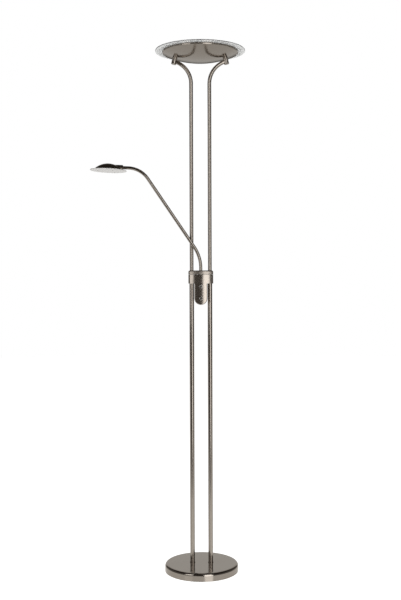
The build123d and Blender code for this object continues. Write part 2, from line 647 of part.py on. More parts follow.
def pole_grub_screws():
    rear = COLLAR_BACK - COLLAR_WALL - SEAM_GAP - FIT_GAP
    front = LOWER_POLE_RADIUS + FIT_GAP
    return group([rod_y(GRUB_RADIUS, front, rear, side * POLE_X, grub_z()) for side in SIDES])


def front_cover_nuts():
    nuts = []
    for side in SIDES:
        hole = rod(COVER_STUD_RADIUS + FIT_GAP, -OVERCUT, TOTAL_HEIGHT)
        nut = hexagon(COVER_NUT_ACROSS, 0, COVER_NUT_HEIGHT) - hole
        place = Pos(side * COVER_STUD_X, BLOCK_REAR_Y + COVER_NUT_HEIGHT, BLOCK_MIDDLE_Z)
        nuts.append(place * Rot(90, 0, 0) * nut)
    return group(nuts)


def collar_screws():
    """Two screws through the rear cover and two from below into the cap's bosses."""
    screws = []
    for side in SIDES:
        x = side * REAR_SCREW_X
        head = rod_y(SMALL_HEAD_RADIUS, COLLAR_BACK, COLLAR_BACK + SMALL_HEAD_HEIGHT, x, BLOCK_MIDDLE_Z)
        screws.append(head + rod_y(SMALL_SCREW_RADIUS, REAR_SCREW_TIP_Y, COLLAR_BACK, x, BLOCK_MIDDLE_Z))
    for x, y in cap_screw_places():
        head = rod(SMALL_HEAD_RADIUS, BLOCK_BOTTOM_Z - SMALL_HEAD_HEIGHT, BLOCK_BOTTOM_Z, x, y)
        screws.append(head + rod(SMALL_SCREW_RADIUS, BLOCK_BOTTOM_Z, BLOCK_TOP_Z + CAP_SCREW_GRIP, x, y))
    return group(screws)


# ---------------------------------------------------------------- controls in the tongue
def tongue_back_plate():
    half = TONGUE_WIDTH / 2 - COLLAR_WALL - SEAM_GAP
    round_z = TONGUE_BOTTOM_Z + TONGUE_WIDTH / 2
    plate = rod_y(half, BACK_PLATE_FRONT_Y, TONGUE_BACK_Y, 0, round_z)
    plate += block(-half, half, BACK_PLATE_FRONT_Y, TONGUE_BACK_Y, round_z, COLLAR_BOTTOM_Z)
    for z in BOARD_POST_Z:
        plate -= rod_y(SMALL_SCREW_RADIUS + FIT_GAP, -TOTAL_HEIGHT, TOTAL_HEIGHT, 0, z)
    for side in SIDES:
        x = side * STANDOFF_X
        plate += rod_y(STANDOFF_RADIUS, BOARD_BACK_Y, BACK_PLATE_FRONT_Y, x, BOARD_POST_Z[-1])
        hole_end = BOARD_BACK_Y + STANDOFF_DEPTH + FIT_GAP
        plate -= rod_y(SMALL_SCREW_RADIUS + FIT_GAP, BOARD_FRONT_Y, hole_end, x, BOARD_POST_Z[-1])
    return plate


def dimmer_board():
    half = BOARD_WIDTH / 2
    board = block(-half, half, BOARD_FRONT_Y, BOARD_BACK_Y, BOARD_BOTTOM_Z, BOARD_TOP_Z)
    board -= rod_y(BOARD_POST_RADIUS + SEAM_GAP, -TOTAL_HEIGHT, 0, 0, BOARD_POST_Z[-1])
    for side in SIDES:
        board -= rod_y(SMALL_SCREW_RADIUS + FIT_GAP, -TOTAL_HEIGHT, 0, side * STANDOFF_X, BOARD_POST_Z[-1])
    return board


def tongue_screws():
    """Screws of the back plate, and those of the board in the plate's standoffs."""
    screws = []
    for z in BOARD_POST_Z:
        head = rod_y(SMALL_HEAD_RADIUS, TONGUE_BACK_Y, TONGUE_BACK_Y + SMALL_HEAD_HEIGHT, 0, z)
        tip = BACK_PLATE_FRONT_Y - BACK_SCREW_GRIP
        screws.append(head + rod_y(SMALL_SCREW_RADIUS, tip, TONGUE_BACK_Y, 0, z))
    z = BOARD_POST_Z[-1]
    for side in SIDES:
        x = side * STANDOFF_X
        head = rod_y(SMALL_HEAD_RADIUS, BOARD_FRONT_Y - SMALL_HEAD_HEIGHT, BOARD_FRONT_Y, x, z)
        screws.append(head + rod_y(SMALL_SCREW_RADIUS, BOARD_FRONT_Y, BOARD_BACK_Y + STANDOFF_DEPTH, x, z))
    return group(screws)


def board_components():
    """Choke, film capacitor and switching device on the back of the board."""
    rear = BACK_PLATE_FRONT_Y - COMPONENT_GAP
    choke = rod_y(CHOKE_RADIUS, BOARD_BACK_Y, rear, 0, BOARD_TOP_Z - CHOKE_BELOW_TOP)
    half = CAPACITOR_WIDTH / 2
    low = BOARD_BOTTOM_Z + CAPACITOR_RISE
    capacitor = block(-half, half, BOARD_BACK_Y, rear, low, low + CAPACITOR_HEIGHT)
    right = BOARD_WIDTH / 2 - SWITCH_EDGE_GAP
    high = BOARD_TOP_Z - SWITCH_BELOW_TOP
    switch = block(right - SWITCH_WIDTH, right, BOARD_BACK_Y, rear, high - SWITCH_HEIGHT, high)
    return group([choke, capacitor, switch])


def dimmers():
    """Two rotary dimmers on the board, each with a bush for its shaft."""
    half = DIMMER_SIDE / 2
    front = BOARD_FRONT_Y - DIMMER_DEPTH
    bush_front = -COLLAR_FRONT + COLLAR_WALL + SEAM_GAP
    bodies = []
    for z in DIMMER_Z.values():
        body = block(-half, half, front, BOARD_FRONT_Y, z - half, z + half)
        body += rod_y(DIMMER_BUSH_RADIUS, bush_front, front, 0, z)
        bodies.append(body - rod_y(SHAFT_RADIUS + FIT_GAP, -TOTAL_HEIGHT, BOARD_FRONT_Y - SHAFT_BLIND, 0, z))
    return group(bodies)


def knob_rear_y():
    return -COLLAR_FRONT - KNOB_LIFT


def knob_shaft(name):
    end = BOARD_FRONT_Y - SHAFT_BLIND - FIT_GAP
    return rod_y(SHAFT_RADIUS, knob_rear_y() - KNOB_SHAFT_REACH, end, 0, DIMMER_Z[name])


def knob(name):
    z = DIMMER_Z[name]
    rear = knob_rear_y()
    front = rear - KNOB_LENGTH
    body = rod_y(KNOB_RADIUS, front, rear, 0, z)
    body = chamfer(body.edges().sort_by(Axis.Y)[0], KNOB_CHAMFER)
    for x, dz in on_circle(KNOB_RADIUS + KNOB_FLUTE_RADIUS / 3, KNOB_FLUTES):
        body -= rod_y(KNOB_FLUTE_RADIUS, front - OVERCUT, rear - KNOB_PLAIN_BAND, x, z + dz)
    body -= rod_y(SHAFT_RADIUS + FIT_GAP / 2, rear - KNOB_SHAFT_REACH, rear + OVERCUT, 0, z)
    return body - rod_y(KNOB_DISH_RADIUS, front - OVERCUT, front + KNOB_DISH_DEPTH, 0, z)


# ---------------------------------------------------------------- reading arm
def arm_corners(offset=0.0):
    """Corner points of the arm's centre line, or of a line beside it."""
    slope = math.radians(ARM_SLOPE)
    end_slope = math.radians(ARM_END_SLOPE)
    top_x = -(ARM_TOP_Z - ARM_KNEE_Z) / math.tan(slope)
    knee_shift = offset * math.tan((math.pi / 2 - slope) / 2)
    top_turn = slope - end_slope
    top_half = offset / math.cos(top_turn / 2)
    top_angle = (slope + end_slope) / 2
    end = arm_end_point()
    knee = Vector(-offset, ARM_Y, ARM_KNEE_Z - knee_shift)
    top = Vector(top_x - top_half * math.sin(top_angle), ARM_Y, ARM_TOP_Z - top_half * math.cos(top_angle))
    last = Vector(end.X - offset * math.sin(end_slope), ARM_Y, end.Z - offset * math.cos(end_slope))
    return [knee, top, last]


def arm_end_point():
    """Where the tube ends, inside the reading head's neck."""
    return head_point(-NECK_END + ARM_END_IN_NECK, HEAD_AXIS_RISE)


def head_axis_direction():
    slope = math.radians(ARM_END_SLOPE)
    return Vector(-math.cos(slope), 0, math.sin(slope))


def head_plane():
    """Frame of the reading head: X along the tube and outward, Z up, origin in the diffuser."""
    slope = math.radians(ARM_END_SLOPE)
    up = Vector(math.sin(slope), 0, math.cos(slope))
    top_x = -(ARM_TOP_Z - ARM_KNEE_Z) / math.tan(math.radians(ARM_SLOPE))
    axis_z = ARM_TOP_Z + (HEAD_REACH + top_x) * math.tan(slope)
    origin = Vector(-HEAD_REACH, ARM_Y, axis_z) - up * HEAD_AXIS_RISE
    return Plane(origin=origin, x_dir=head_axis_direction(), z_dir=up)


def head_point(along, rise):
    plane = head_plane()
    return plane.origin + plane.x_dir * along + plane.z_dir * rise


def arm_path(offset=0.0, shorter=0.0):
    """Centre line of the arm, or a line beside it on the inner side of its bends."""
    knee, top, last = arm_corners(offset)
    start = Vector(-offset, ARM_Y, ARM_BOTTOM_Z)
    end = last - head_axis_direction() * shorter
    return FilletPolyline(start, knee, top, end, radius=[ARM_KNEE_RADIUS - offset, ARM_TOP_RADIUS - offset])


def reading_arm():
    path = arm_path()
    start = Plane(origin=path @ 0, z_dir=path % 0)
    outer = sweep(start * Circle(ARM_RADIUS), path=path)
    inner = sweep(start * Circle(ARM_RADIUS - ARM_WALL), path=path)
    return first_solid(outer - inner)


def arm_wire():
    room = ARM_RADIUS - ARM_WALL - ARM_WIRE_RADIUS - 2 * FIT_GAP
    path = arm_path(room, NIPPLE_IN_TUBE + SEAM_GAP)
    start = Plane(origin=path @ 0, z_dir=path % 0)
    return first_solid(sweep(start * Circle(ARM_WIRE_RADIUS), path=path))


def arm_bush():
    bush = rod(BUSH_RADIUS, BUSH_BOTTOM_Z, BLOCK_TOP_Z, 0, ARM_Y)
    bush += rod(BUSH_FLANGE_RADIUS, BLOCK_TOP_Z, THRUST_Z, 0, ARM_Y)
    return bush - rod(ARM_RADIUS + FIT_GAP, 0, TOTAL_HEIGHT, 0, ARM_Y)


def arm_thrust_collar():
    high = THRUST_Z + THRUST_COLLAR_HEIGHT
    collar = ring(THRUST_COLLAR_RADIUS, ARM_RADIUS + FIT_GAP / 2, THRUST_Z, high, 0, ARM_Y)
    return collar - thrust_screw_hole(SMALL_SCREW_RADIUS + FIT_GAP)


def thrust_screw_hole(radius):
    z = THRUST_Z + THRUST_COLLAR_HEIGHT / 2
    return rod_y(radius, ARM_Y + ARM_RADIUS + FIT_GAP, ARM_Y + THRUST_COLLAR_RADIUS, 0, z)


def arm_retaining_nut():
    high = BUSH_BOTTOM_Z - FRICTION_WASHER
    low = high - RETAINER_HEIGHT
    return ring(RETAINER_RADIUS, ARM_RADIUS + FIT_GAP / 2, low, high, 0, ARM_Y)


def arm_friction_washer():
    low = BUSH_BOTTOM_Z - FRICTION_WASHER
    return ring(RETAINER_RADIUS, ARM_RADIUS + SEAM_GAP, low, BUSH_BOTTOM_Z, 0, ARM_Y)


# ---------------------------------------------------------------- reading head, in its own frame
def shade_sphere(inset):
    height = SHADE_APEX - SHADE_RIM
    radius = (SHADE_RIM_RADIUS ** 2 + height ** 2) / (2 * height)
    ball = Pos(0, 0, SHADE_APEX - radius) * Sphere(radius - inset)
    return ball & block(-TOTAL_HEIGHT, TOTAL_HEIGHT, -TOTAL_HEIGHT, TOTAL_HEIGHT, SHADE_RIM, TOTAL_HEIGHT)


def reading_shade():
    neck_floor = block(-TOTAL_HEIGHT, TOTAL_HEIGHT, -TOTAL_HEIGHT, TOTAL_HEIGHT, SHADE_RIM, TOTAL_HEIGHT)
    outer = shade_sphere(0)
    outer += rod_x(NECK_RADIUS, -NECK_END, 0, 0, HEAD_AXIS_RISE) & neck_floor
    inner = shade_sphere(SHADE_WALL)
    inner += rod_x(NECK_RADIUS - SHADE_WALL, -NECK_END + NECK_END_WALL, 0, 0, HEAD_AXIS_RISE)
    shade = outer - inner
    return first_solid(shade - rod_x(ARM_RADIUS + SEAM_GAP, -NECK_END - OVERCUT, 0, 0, HEAD_AXIS_RISE))


def pivot_start():
    """Near face of the pivot block, a seam away from the tube's end."""
    return -NECK_END + ARM_END_IN_NECK + SEAM_GAP


def pivot_end():
    return pivot_start() + PIVOT_BLOCK_LENGTH


def pivot_block():
    body = rod_x(NECK_RADIUS - SHADE_WALL - FIT_GAP, pivot_start(), pivot_end(), 0, HEAD_AXIS_RISE)
    body &= block(-TOTAL_HEIGHT, TOTAL_HEIGHT, -TOTAL_HEIGHT, TOTAL_HEIGHT, READING_PLATE_TOP, TOTAL_HEIGHT)
    body -= rod_x(NIPPLE_RADIUS + FIT_GAP, -TOTAL_HEIGHT, TOTAL_HEIGHT, 0, HEAD_AXIS_RISE)
    return body


def arm_end_nipple():
    tube_end = -NECK_END + ARM_END_IN_NECK
    far = pivot_end() + PIVOT_NUT_LENGTH + NIPPLE_PAST_NUT
    wide = ARM_RADIUS - ARM_WALL - FIT_GAP
    body = rod_x(wide, tube_end - NIPPLE_IN_TUBE, tube_end, 0, HEAD_AXIS_RISE)
    body += rod_x(NIPPLE_RADIUS, tube_end, far, 0, HEAD_AXIS_RISE)
    return body - rod_x(NIPPLE_BORE_RADIUS, -TOTAL_HEIGHT, TOTAL_HEIGHT, 0, HEAD_AXIS_RISE)


def pivot_nut():
    low = pivot_end()
    nut = rod_x(PIVOT_NUT_RADIUS, low, low + PIVOT_NUT_LENGTH, 0, HEAD_AXIS_RISE)
    return nut - rod_x(NIPPLE_RADIUS + FIT_GAP / 2, -TOTAL_HEIGHT, TOTAL_HEIGHT, 0, HEAD_AXIS_RISE)


def reading_plate_radius():
    """Largest plate that fits inside the shade at the plate's height."""
    height = SHADE_APEX - SHADE_RIM
    radius = (SHADE_RIM_RADIUS ** 2 + height ** 2) / (2 * height)
    down = READING_PLATE_TOP - (SHADE_APEX - radius)
    return math.sqrt((radius - SHADE_WALL) ** 2 - down ** 2) - SEAM_GAP


def spacer_places():
    return on_circle(READING_SPACER_CIRCLE, READING_SPACER_COUNT, start=0.0)


def reading_heat_plate():
    plate = rod(reading_plate_radius(), READING_PLATE_BOTTOM, READING_PLATE_TOP)
    for x, y in spacer_places():
        plate -= rod(READING_SCREW_RADIUS + FIT_GAP, 0, TOTAL_HEIGHT, x, y)
    return plate


def reading_light_board():
    low = READING_PLATE_BOTTOM - READING_BOARD_THICKNESS
    board = rod(READING_BOARD_RADIUS, low, READING_PLATE_BOTTOM)
    for x, y in spacer_places():
        board -= rod(READING_SCREW_RADIUS + FIT_GAP, 0, TOTAL_HEIGHT, x, y)
    return board


def reading_lights():
    high = READING_PLATE_BOTTOM - READING_BOARD_THICKNESS
    half = LED_SIDE / 2
    places = on_circle(READING_LED_CIRCLE, READING_LED_COUNT)
    return group([block(x - half, x + half, y - half, y + half, high - LED_THICKNESS, high)
                  for x, y in places])


def diffuser():
    half = DIFFUSER_THICKNESS / 2
    disc = rod(DIFFUSER_RADIUS, -half, half)
    disc = chamfer(disc.edges(), DIFFUSER_CHAMFER)
    for x, y in spacer_places():
        disc -= rod(READING_SCREW_RADIUS + SEAM_GAP, -TOTAL_HEIGHT, TOTAL_HEIGHT, x, y)
    return disc


def diffuser_spacers():
    low = DIFFUSER_THICKNESS / 2
    high = READING_PLATE_BOTTOM - READING_BOARD_THICKNESS
    hole = READING_SCREW_RADIUS + FIT_GAP
    return group([ring(READING_SPACER_RADIUS, hole, low, high, x, y) for x, y in spacer_places()])


def diffuser_screws():
    seat = -DIFFUSER_THICKNESS / 2
    screws = []
    for x, y in spacer_places():
        head = rod(READING_SCREW_HEAD_RADIUS, seat - READING_SCREW_HEAD_HEIGHT, seat, x, y)
        head = fillet(head.edges().sort_by(Axis.Z)[0], READING_SCREW_HEAD_EDGE)
        screws.append(head + rod(READING_SCREW_RADIUS, seat, READING_PLATE_TOP + SEAM_GAP, x, y))
    return group(screws)


# ---------------------------------------------------------------- uplighter head
def bowl_solid(inset):
    """Shallow spherical bowl with a rounded edge and a short upright rim, as a full solid."""
    ball = BOWL_SPHERE_RADIUS - inset
    centre_z = BOWL_BOTTOM_Z + BOWL_SPHERE_RADIUS
    rim = BOWL_RADIUS - inset
    top = BOWL_RIM_Z + (OVERCUT if inset else 0)
    angle = math.asin(rim / ball)
    corner = (rim, centre_z - ball * math.cos(angle))
    middle = (ball * math.sin(angle / 2), centre_z - ball * math.cos(angle / 2))
    bottom = (0, centre_z - ball)
    arc = ThreePointArc(bottom, middle, corner)
    sides = Polyline(corner, (rim, top), (0, top), bottom)
    profile = make_face([arc.edge()] + list(sides.edges()))
    profile = fillet(profile.vertices().sort_by_distance((rim, corner[1], 0))[0], BOWL_EDGE_RADIUS - inset)
    return revolve(Plane.XZ * profile, Axis.Z)


def post_location(side):
    """Frame of a head post: origin at its lower end, Z along its axis."""
    return Plane(origin=post_axis_point(0, side), x_dir=(0, 1, 0),
                 z_dir=post_axis_point(1, side) - post_axis_point(0, side))


def post_length():
    """Distance along the post's axis from its lower end to the bowl's underside."""
    foot = post_axis_point(0, 1)
    along = post_axis_point(1, 1) - foot
    to_foot = foot - Vector(0, 0, BOWL_BOTTOM_Z + BOWL_SPHERE_RADIUS)
    b = to_foot.dot(along)
    c = to_foot.dot(to_foot) - BOWL_SPHERE_RADIUS ** 2
    return -b - math.sqrt(b * b - c)


def uplight_bowl():
    bowl = bowl_solid(0) - bowl_solid(BOWL_WALL)
    for side in SIDES:
        bowl -= post_location(side) * rod(POST_NIPPLE_RADIUS + FIT_GAP, 0, TOTAL_HEIGHT)
    return first_solid(bowl)


def rim_gasket():
    outer = BOWL_RADIUS - SEAM_GAP
    return ring(outer, BOWL_RADIUS - BOWL_WALL - GASKET_LIP, BOWL_RIM_Z, GLASS_BOTTOM_Z)


def uplight_glass():
    disc = rod(GLASS_RADIUS, GLASS_BOTTOM_Z, TOTAL_HEIGHT)
    return chamfer(disc.edges(), GLASS_CHAMFER)


def post_tube_tool(side, radius):
    """The upper pole's last straight, as a cutting tool that ends where the tube ends."""
    path = upper_pole_path(side)
    end = path @ 1
    along = path % 1
    return Plane(origin=end - along * 2 * POST_RADIUS, z_dir=along) * rod(radius, 0, 2 * POST_RADIUS)


def head_post(side):
    post = rod(POST_RADIUS, 0, post_length() + POST_RADIUS)
    post = fillet(post.edges().sort_by(Axis.Z)[0], POST_EDGE_RADIUS)
    nipple_low = post_length() - POST_NIPPLE_GRIP
    post -= rod(POST_NIPPLE_RADIUS + FIT_GAP, nipple_low, TOTAL_HEIGHT)
    post -= rod(POST_NIPPLE_BORE_RADIUS, nipple_low - POST_RADIUS, TOTAL_HEIGHT)
    post = post_location(side) * post
    post -= post_tube_tool(side, UPPER_POLE_RADIUS + FIT_GAP)
    centre_z = BOWL_BOTTOM_Z + BOWL_SPHERE_RADIUS
    return first_solid(post - Pos(0, 0, centre_z) * Sphere(BOWL_SPHERE_RADIUS + FIT_GAP))


def inside_bowl():
    """Distance along the post's axis from its lower end to the bowl's inside."""
    return post_length() + BOWL_WALL


def post_nipples():
    low = post_length() - POST_NIPPLE_GRIP
    high = inside_bowl() + POST_NIPPLE_RISE
    return group([post_location(side) * ring(POST_NIPPLE_RADIUS, POST_NIPPLE_BORE_RADIUS, low, high)
                  for side in SIDES])


def post_nuts():
    """Flanged nuts inside the bowl, just clear of its curve at the flange's rim."""
    seat = inside_bowl() + POST_NUT_LIFT
    hole = POST_NIPPLE_RADIUS + FIT_GAP
    nut = flanged_nut(POST_NUT_ACROSS, POST_NUT_HEIGHT, POST_FLANGE_RADIUS, POST_FLANGE, hole)
    return group([post_location(side) * Pos(0, 0, seat) * nut for side in SIDES])


def bowl_inside_z(radius):
    """Height of the bowl's inside at a distance from its axis."""
    inner = BOWL_SPHERE_RADIUS - BOWL_WALL
    return BOWL_BOTTOM_Z + BOWL_SPHERE_RADIUS - math.sqrt(inner ** 2 - radius ** 2)


def pillar_places():
    return on_circle(PILLAR_CIRCLE, PILLAR_COUNT)


def uplight_heat_plate():
    plate = rod(PLATE_RADIUS, PLATE_BOTTOM_Z, PLATE_TOP_Z)
    for x, y in pillar_places():
        plate -= rod(SMALL_SCREW_RADIUS + FIT_GAP, 0, TOTAL_HEIGHT, x, y)
    for side in SIDES:
        room = POST_FLANGE_RADIUS + POST_NUT_ROOM
        x = post_axis_point(inside_bowl(), side).X
        plate -= rod(room, 0, TOTAL_HEIGHT, x)
        plate -= rod(SMALL_SCREW_RADIUS + FIT_GAP, 0, TOTAL_HEIGHT, 0, side * DRIVER_SCREW_SPREAD / 2)
    return first_solid(plate)


def plate_pillars():
    pillars = []
    for x, y in pillar_places():
        pillar = rod(PILLAR_RADIUS, BOWL_BOTTOM_Z, PLATE_BOTTOM_Z, x, y)
        hole_end = bowl_inside_z(PILLAR_CIRCLE) + PILLAR_FLOOR
        pillar -= rod(SMALL_SCREW_RADIUS + FIT_GAP, hole_end, TOTAL_HEIGHT, x, y)
        pillars.append(pillar & bowl_cavity())
    return group(pillars)


def bowl_cavity():
    centre_z = BOWL_BOTTOM_Z + BOWL_SPHERE_RADIUS
    return Pos(0, 0, centre_z) * Sphere(BOWL_SPHERE_RADIUS - BOWL_WALL - FIT_GAP)


def plate_screws():
    """Screws of the heat plate's pillars, and those that hold the driver under the plate."""
    places = [(x, y, bowl_inside_z(PILLAR_CIRCLE) + PILLAR_SCREW_LIFT) for x, y in pillar_places()]
    places += [(0, side * DRIVER_SCREW_SPREAD / 2, PLATE_BOTTOM_Z - DRIVER_SCREW_GRIP) for side in SIDES]
    screws = []
    for x, y, tip in places:
        head = rod(SMALL_HEAD_RADIUS, PLATE_TOP_Z, PLATE_TOP_Z + SMALL_HEAD_HEIGHT, x, y)
        screws.append(head + rod(SMALL_SCREW_RADIUS, tip, PLATE_TOP_Z, x, y))
    return group(screws)


def uplight_light_board():
    board = rod(LIGHT_BOARD_RADIUS, PLATE_TOP_Z, LIGHT_BOARD_TOP_Z)
    for side in SIDES:
        room = POST_FLANGE_RADIUS + POST_NUT_ROOM
        x = post_axis_point(inside_bowl(), side).X
        board -= rod(room, 0, TOTAL_HEIGHT, x)
        head_room = SMALL_HEAD_RADIUS + SEAM_GAP
        board -= rod(head_room, 0, TOTAL_HEIGHT, 0, side * DRIVER_SCREW_SPREAD / 2)
    return first_solid(board)


def uplight_lights():
    low = LIGHT_BOARD_TOP_Z
    half = LED_SIDE / 2
    lights = []
    for radius, count in zip(LIGHT_RING_RADII, LIGHT_RING_COUNTS):
        half_step = 360.0 / count / 2
        for x, y in on_circle(radius, count, start=PATTERN_START + half_step):
            lights.append(block(x - half, x + half, y - half, y + half, low, low + LED_THICKNESS))
    return group(lights)


def uplight_driver():
    half_x = DRIVER_LENGTH / 2
    half_y = DRIVER_WIDTH / 2
    ear_x = DRIVER_EAR_WIDTH / 2
    ear_y = DRIVER_SCREW_SPREAD / 2 + SMALL_HEAD_RADIUS + DRIVER_EAR_MARGIN
    box = block(-half_x, half_x, -half_y, half_y, PLATE_BOTTOM_Z - DRIVER_HEIGHT, PLATE_BOTTOM_Z)
    box = fillet(box.edges().filter_by(Axis.Z), DRIVER_CORNER)
    box += block(-ear_x, ear_x, -ear_y, ear_y, PLATE_BOTTOM_Z - DRIVER_EAR_THICKNESS, PLATE_BOTTOM_Z)
    for side in SIDES:
        box -= rod(SMALL_SCREW_RADIUS + FIT_GAP, 0, TOTAL_HEIGHT, 0, side * DRIVER_SCREW_SPREAD / 2)
    return box


# ---------------------------------------------------------------- the whole lamp
def base_nodes():
    return {
        "base_shell": base_shell(),
        "base_weight": base_weight(),
        "base_cover_plate": base_cover_plate(),
        "base_pad": base_pad(),
        "base_screws": base_screws(),
        "cord_grommet": cord_grommet(),
        "foot_studs": foot_studs(),
        "stud_nuts": stud_nuts(),
        "foot_rings": foot_rings(),
    }


def pole_nodes():
    return {
        "lower_pole_left": lower_pole(-1),
        "lower_pole_right": lower_pole(1),
        "pole_joiners": pole_joiners(),
        "upper_pole_left": upper_pole(-1),
        "upper_pole_right": upper_pole(1),
        "pole_wires": pole_wires(),
    }


def collar_nodes():
    nodes = {
        "front_cover": front_cover(),
        "rear_cover": rear_cover(),
        "top_cap": top_cap(),
        "collar_block": collar_block(),
        "pole_grub_screws": pole_grub_screws(),
        "front_cover_nuts": front_cover_nuts(),
        "collar_screws": collar_screws(),
        "tongue_back_plate": tongue_back_plate(),
        "tongue_screws": tongue_screws(),
        "dimmer_board": dimmer_board(),
        "board_components": board_components(),
        "dimmers": dimmers(),
    }
    for name in DIMMER_Z:
        nodes[name + "_knob"] = knob(name)
        nodes[name + "_knob_shaft"] = knob_shaft(name)
    return nodes


def arm_nodes():
    return {
        "arm_bush": arm_bush(),
        "arm_friction_washer": arm_friction_washer(),
        "reading_arm": reading_arm(),
        "arm_wire": arm_wire(),
        "arm_thrust_collar": arm_thrust_collar(),
        "arm_retaining_nut": arm_retaining_nut(),
    }


def reading_head_nodes():
    place = head_plane().location
    nodes = {
        "arm_end_nipple": arm_end_nipple(),
        "pivot_nut": pivot_nut(),
        "pivot_block": pivot_block(),
        "reading_shade": reading_shade(),
        "reading_heat_plate": reading_heat_plate(),
        "reading_light_board": reading_light_board(),
        "reading_lights": reading_lights(),
        "reading_diffuser": diffuser(),
        "diffuser_spacers": diffuser_spacers(),
        "diffuser_screws": diffuser_screws(),
    }
    return {name: place * shape for name, shape in nodes.items()}


def uplighter_nodes():
    return {
        "uplight_bowl": uplight_bowl(),
        "rim_gasket": rim_gasket(),
        "head_post_left": head_post(-1),
        "head_post_right": head_post(1),
        "post_nipples": post_nipples(),
        "post_nuts": post_nuts(),
        "uplight_heat_plate": uplight_heat_plate(),
        "plate_pillars": plate_pillars(),
        "plate_screws": plate_screws(),
        "uplight_light_board": uplight_light_board(),
        "uplight_lights": uplight_lights(),
        "uplight_driver": uplight_driver(),
        "uplight_glass": uplight_glass(),
    }


SECTIONS = (base_nodes, pole_nodes, collar_nodes, arm_nodes, reading_head_nodes, uplighter_nodes)


def all_nodes():
    nodes = {}
    for section in SECTIONS:
        nodes.update(section())
    return nodes


if __name__ == "__main__":
    os.makedirs("parts", exist_ok=True)
    for node, shape in all_nodes().items():
        export_step(shape, os.path.join("parts", node + ".step"))
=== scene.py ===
import json
import math
import bmesh
import bpy
from mathutils import Matrix, Vector


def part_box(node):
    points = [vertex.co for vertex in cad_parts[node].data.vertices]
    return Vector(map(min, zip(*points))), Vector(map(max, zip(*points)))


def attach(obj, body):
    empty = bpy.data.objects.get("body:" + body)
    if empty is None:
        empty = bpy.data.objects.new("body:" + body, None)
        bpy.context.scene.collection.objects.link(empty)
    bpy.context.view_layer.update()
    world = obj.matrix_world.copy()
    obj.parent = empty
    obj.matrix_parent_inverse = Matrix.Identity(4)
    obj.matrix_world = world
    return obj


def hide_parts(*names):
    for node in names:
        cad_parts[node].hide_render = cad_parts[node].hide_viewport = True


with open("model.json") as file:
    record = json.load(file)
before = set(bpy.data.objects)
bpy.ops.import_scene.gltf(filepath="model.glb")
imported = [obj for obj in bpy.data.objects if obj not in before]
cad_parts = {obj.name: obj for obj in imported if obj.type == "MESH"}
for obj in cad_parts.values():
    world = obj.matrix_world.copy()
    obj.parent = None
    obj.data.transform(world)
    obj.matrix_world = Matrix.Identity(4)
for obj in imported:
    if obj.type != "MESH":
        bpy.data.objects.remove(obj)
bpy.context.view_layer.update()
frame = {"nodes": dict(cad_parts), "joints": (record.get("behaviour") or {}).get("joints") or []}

# Everything is in metres, in the frame of the lamp: it stands on Z = 0, its knobs face -Y and its
# reading arm points to -X.

MM = 0.001

# ---------------------------------------------------------------- camera
PHOTO_WIDTH = 401
FOCAL_PIXELS = 915.43
SENSOR_WIDTH = 36.0            # millimetres, as Blender's cameras count it
CAMERA_PLACE = Vector((-0.0013, -3.1692, 1.01346))
CAMERA_PITCH = 0.0226          # radians below the horizon
CAMERA_ROLL = -0.0032

# ---------------------------------------------------------------- studio, as the metal mirrors it
FLOOR_RADIUS = 9.0
WHITE = (1.0, 1.0, 1.0)
BACK_LEVEL = 0.56              # the pale sheet that hangs behind the lamp
SIDE_LEVEL = 0.13
FRONT_LEVEL = 0.055            # the unlit half of the studio
CEILING_SHARE = 0.5            # the ceiling's level as a share of the walls'
FLOOR_FRONT_LEVEL = 0.66       # the pale floor round the base, in front of it
FLOOR_BACK_LEVEL = 0.44        # and behind it
BACK_TINT = (1.0, 0.985, 0.955)
SIDE_TINT = (1.0, 0.95, 0.88)
FRONT_TINT = (1.0, 0.86, 0.72)
SIDE_EDGE = (0.50, 0.80)       # the side walls start between these shares of the direction's X
CEILING_EDGE = (0.30, 0.80)    # and the ceiling between these shares of its Z
FLOOR_EDGE = (-1.4, -0.8)      # the floor goes dark in front of these places
FLOOR_MIDDLE = (0.0, 0.6)
FLOOR_COLOUR = 0.85
FLOOR_GLOW = 1.0
FLOOR_GLOSS = 0.36
FLOOR_ROUGHNESS = 0.12
SHEET_Y = 0.65                 # place and size of the sheet behind the lamp
SHEET_HALF_WIDTH = 0.62
SHEET_HEIGHT = 1.90
SHEET_FADE = (1.58, 1.85)      # the sheet goes dark between these heights
SHEET_SIDE_FADE = (0.42, 0.60)
SOFTBOX_DISTANCE = 2.2
# name: degrees to the right of the camera, half width in degrees, lower and upper edge, radiance
SOFTBOXES = {
    "softbox_right": (21.5, 12.5, 0.02, 2.5, 2.15),
    "softbox_left": (-41.0, 12.0, 0.75, 2.5, 1.55),
}
TOP_LIGHT_HEIGHT = 3.4
TOP_LIGHT_Y = 0.4
TOP_LIGHT_SIZE = 2.6
TOP_LIGHT_RADIANCE = 0.9
UNMIRRORED = 0.5               # a ray that has fewer mirror bounces than this has none

# ---------------------------------------------------------------- colours
NICKEL = (0.430, 0.388, 0.345)
NICKEL_DARK = (0.375, 0.335, 0.292)
CHROME = (0.74, 0.73, 0.71)
CHROME_DARK = (0.62, 0.61, 0.59)
ZINC = (0.60, 0.61, 0.62)
ZINC_DARK = (0.47, 0.48, 0.50)
ALUMINIUM = (0.70, 0.71, 0.72)
ALUMINIUM_DARK = (0.58, 0.59, 0.60)
IRON_PAINT = (0.028, 0.028, 0.030)
IRON_PAINT_DARK = (0.014, 0.014, 0.015)
FELT = (0.018, 0.018, 0.019)
FELT_LIGHT = (0.045, 0.044, 0.046)
RUBBER = (0.022, 0.022, 0.022)
RUBBER_LIGHT = (0.040, 0.040, 0.040)
NYLON = (0.72, 0.70, 0.64)
NYLON_DARK = (0.60, 0.57, 0.50)
SHEATH = (0.020, 0.020, 0.021)
SHEATH_LIGHT = (0.032, 0.032, 0.033)
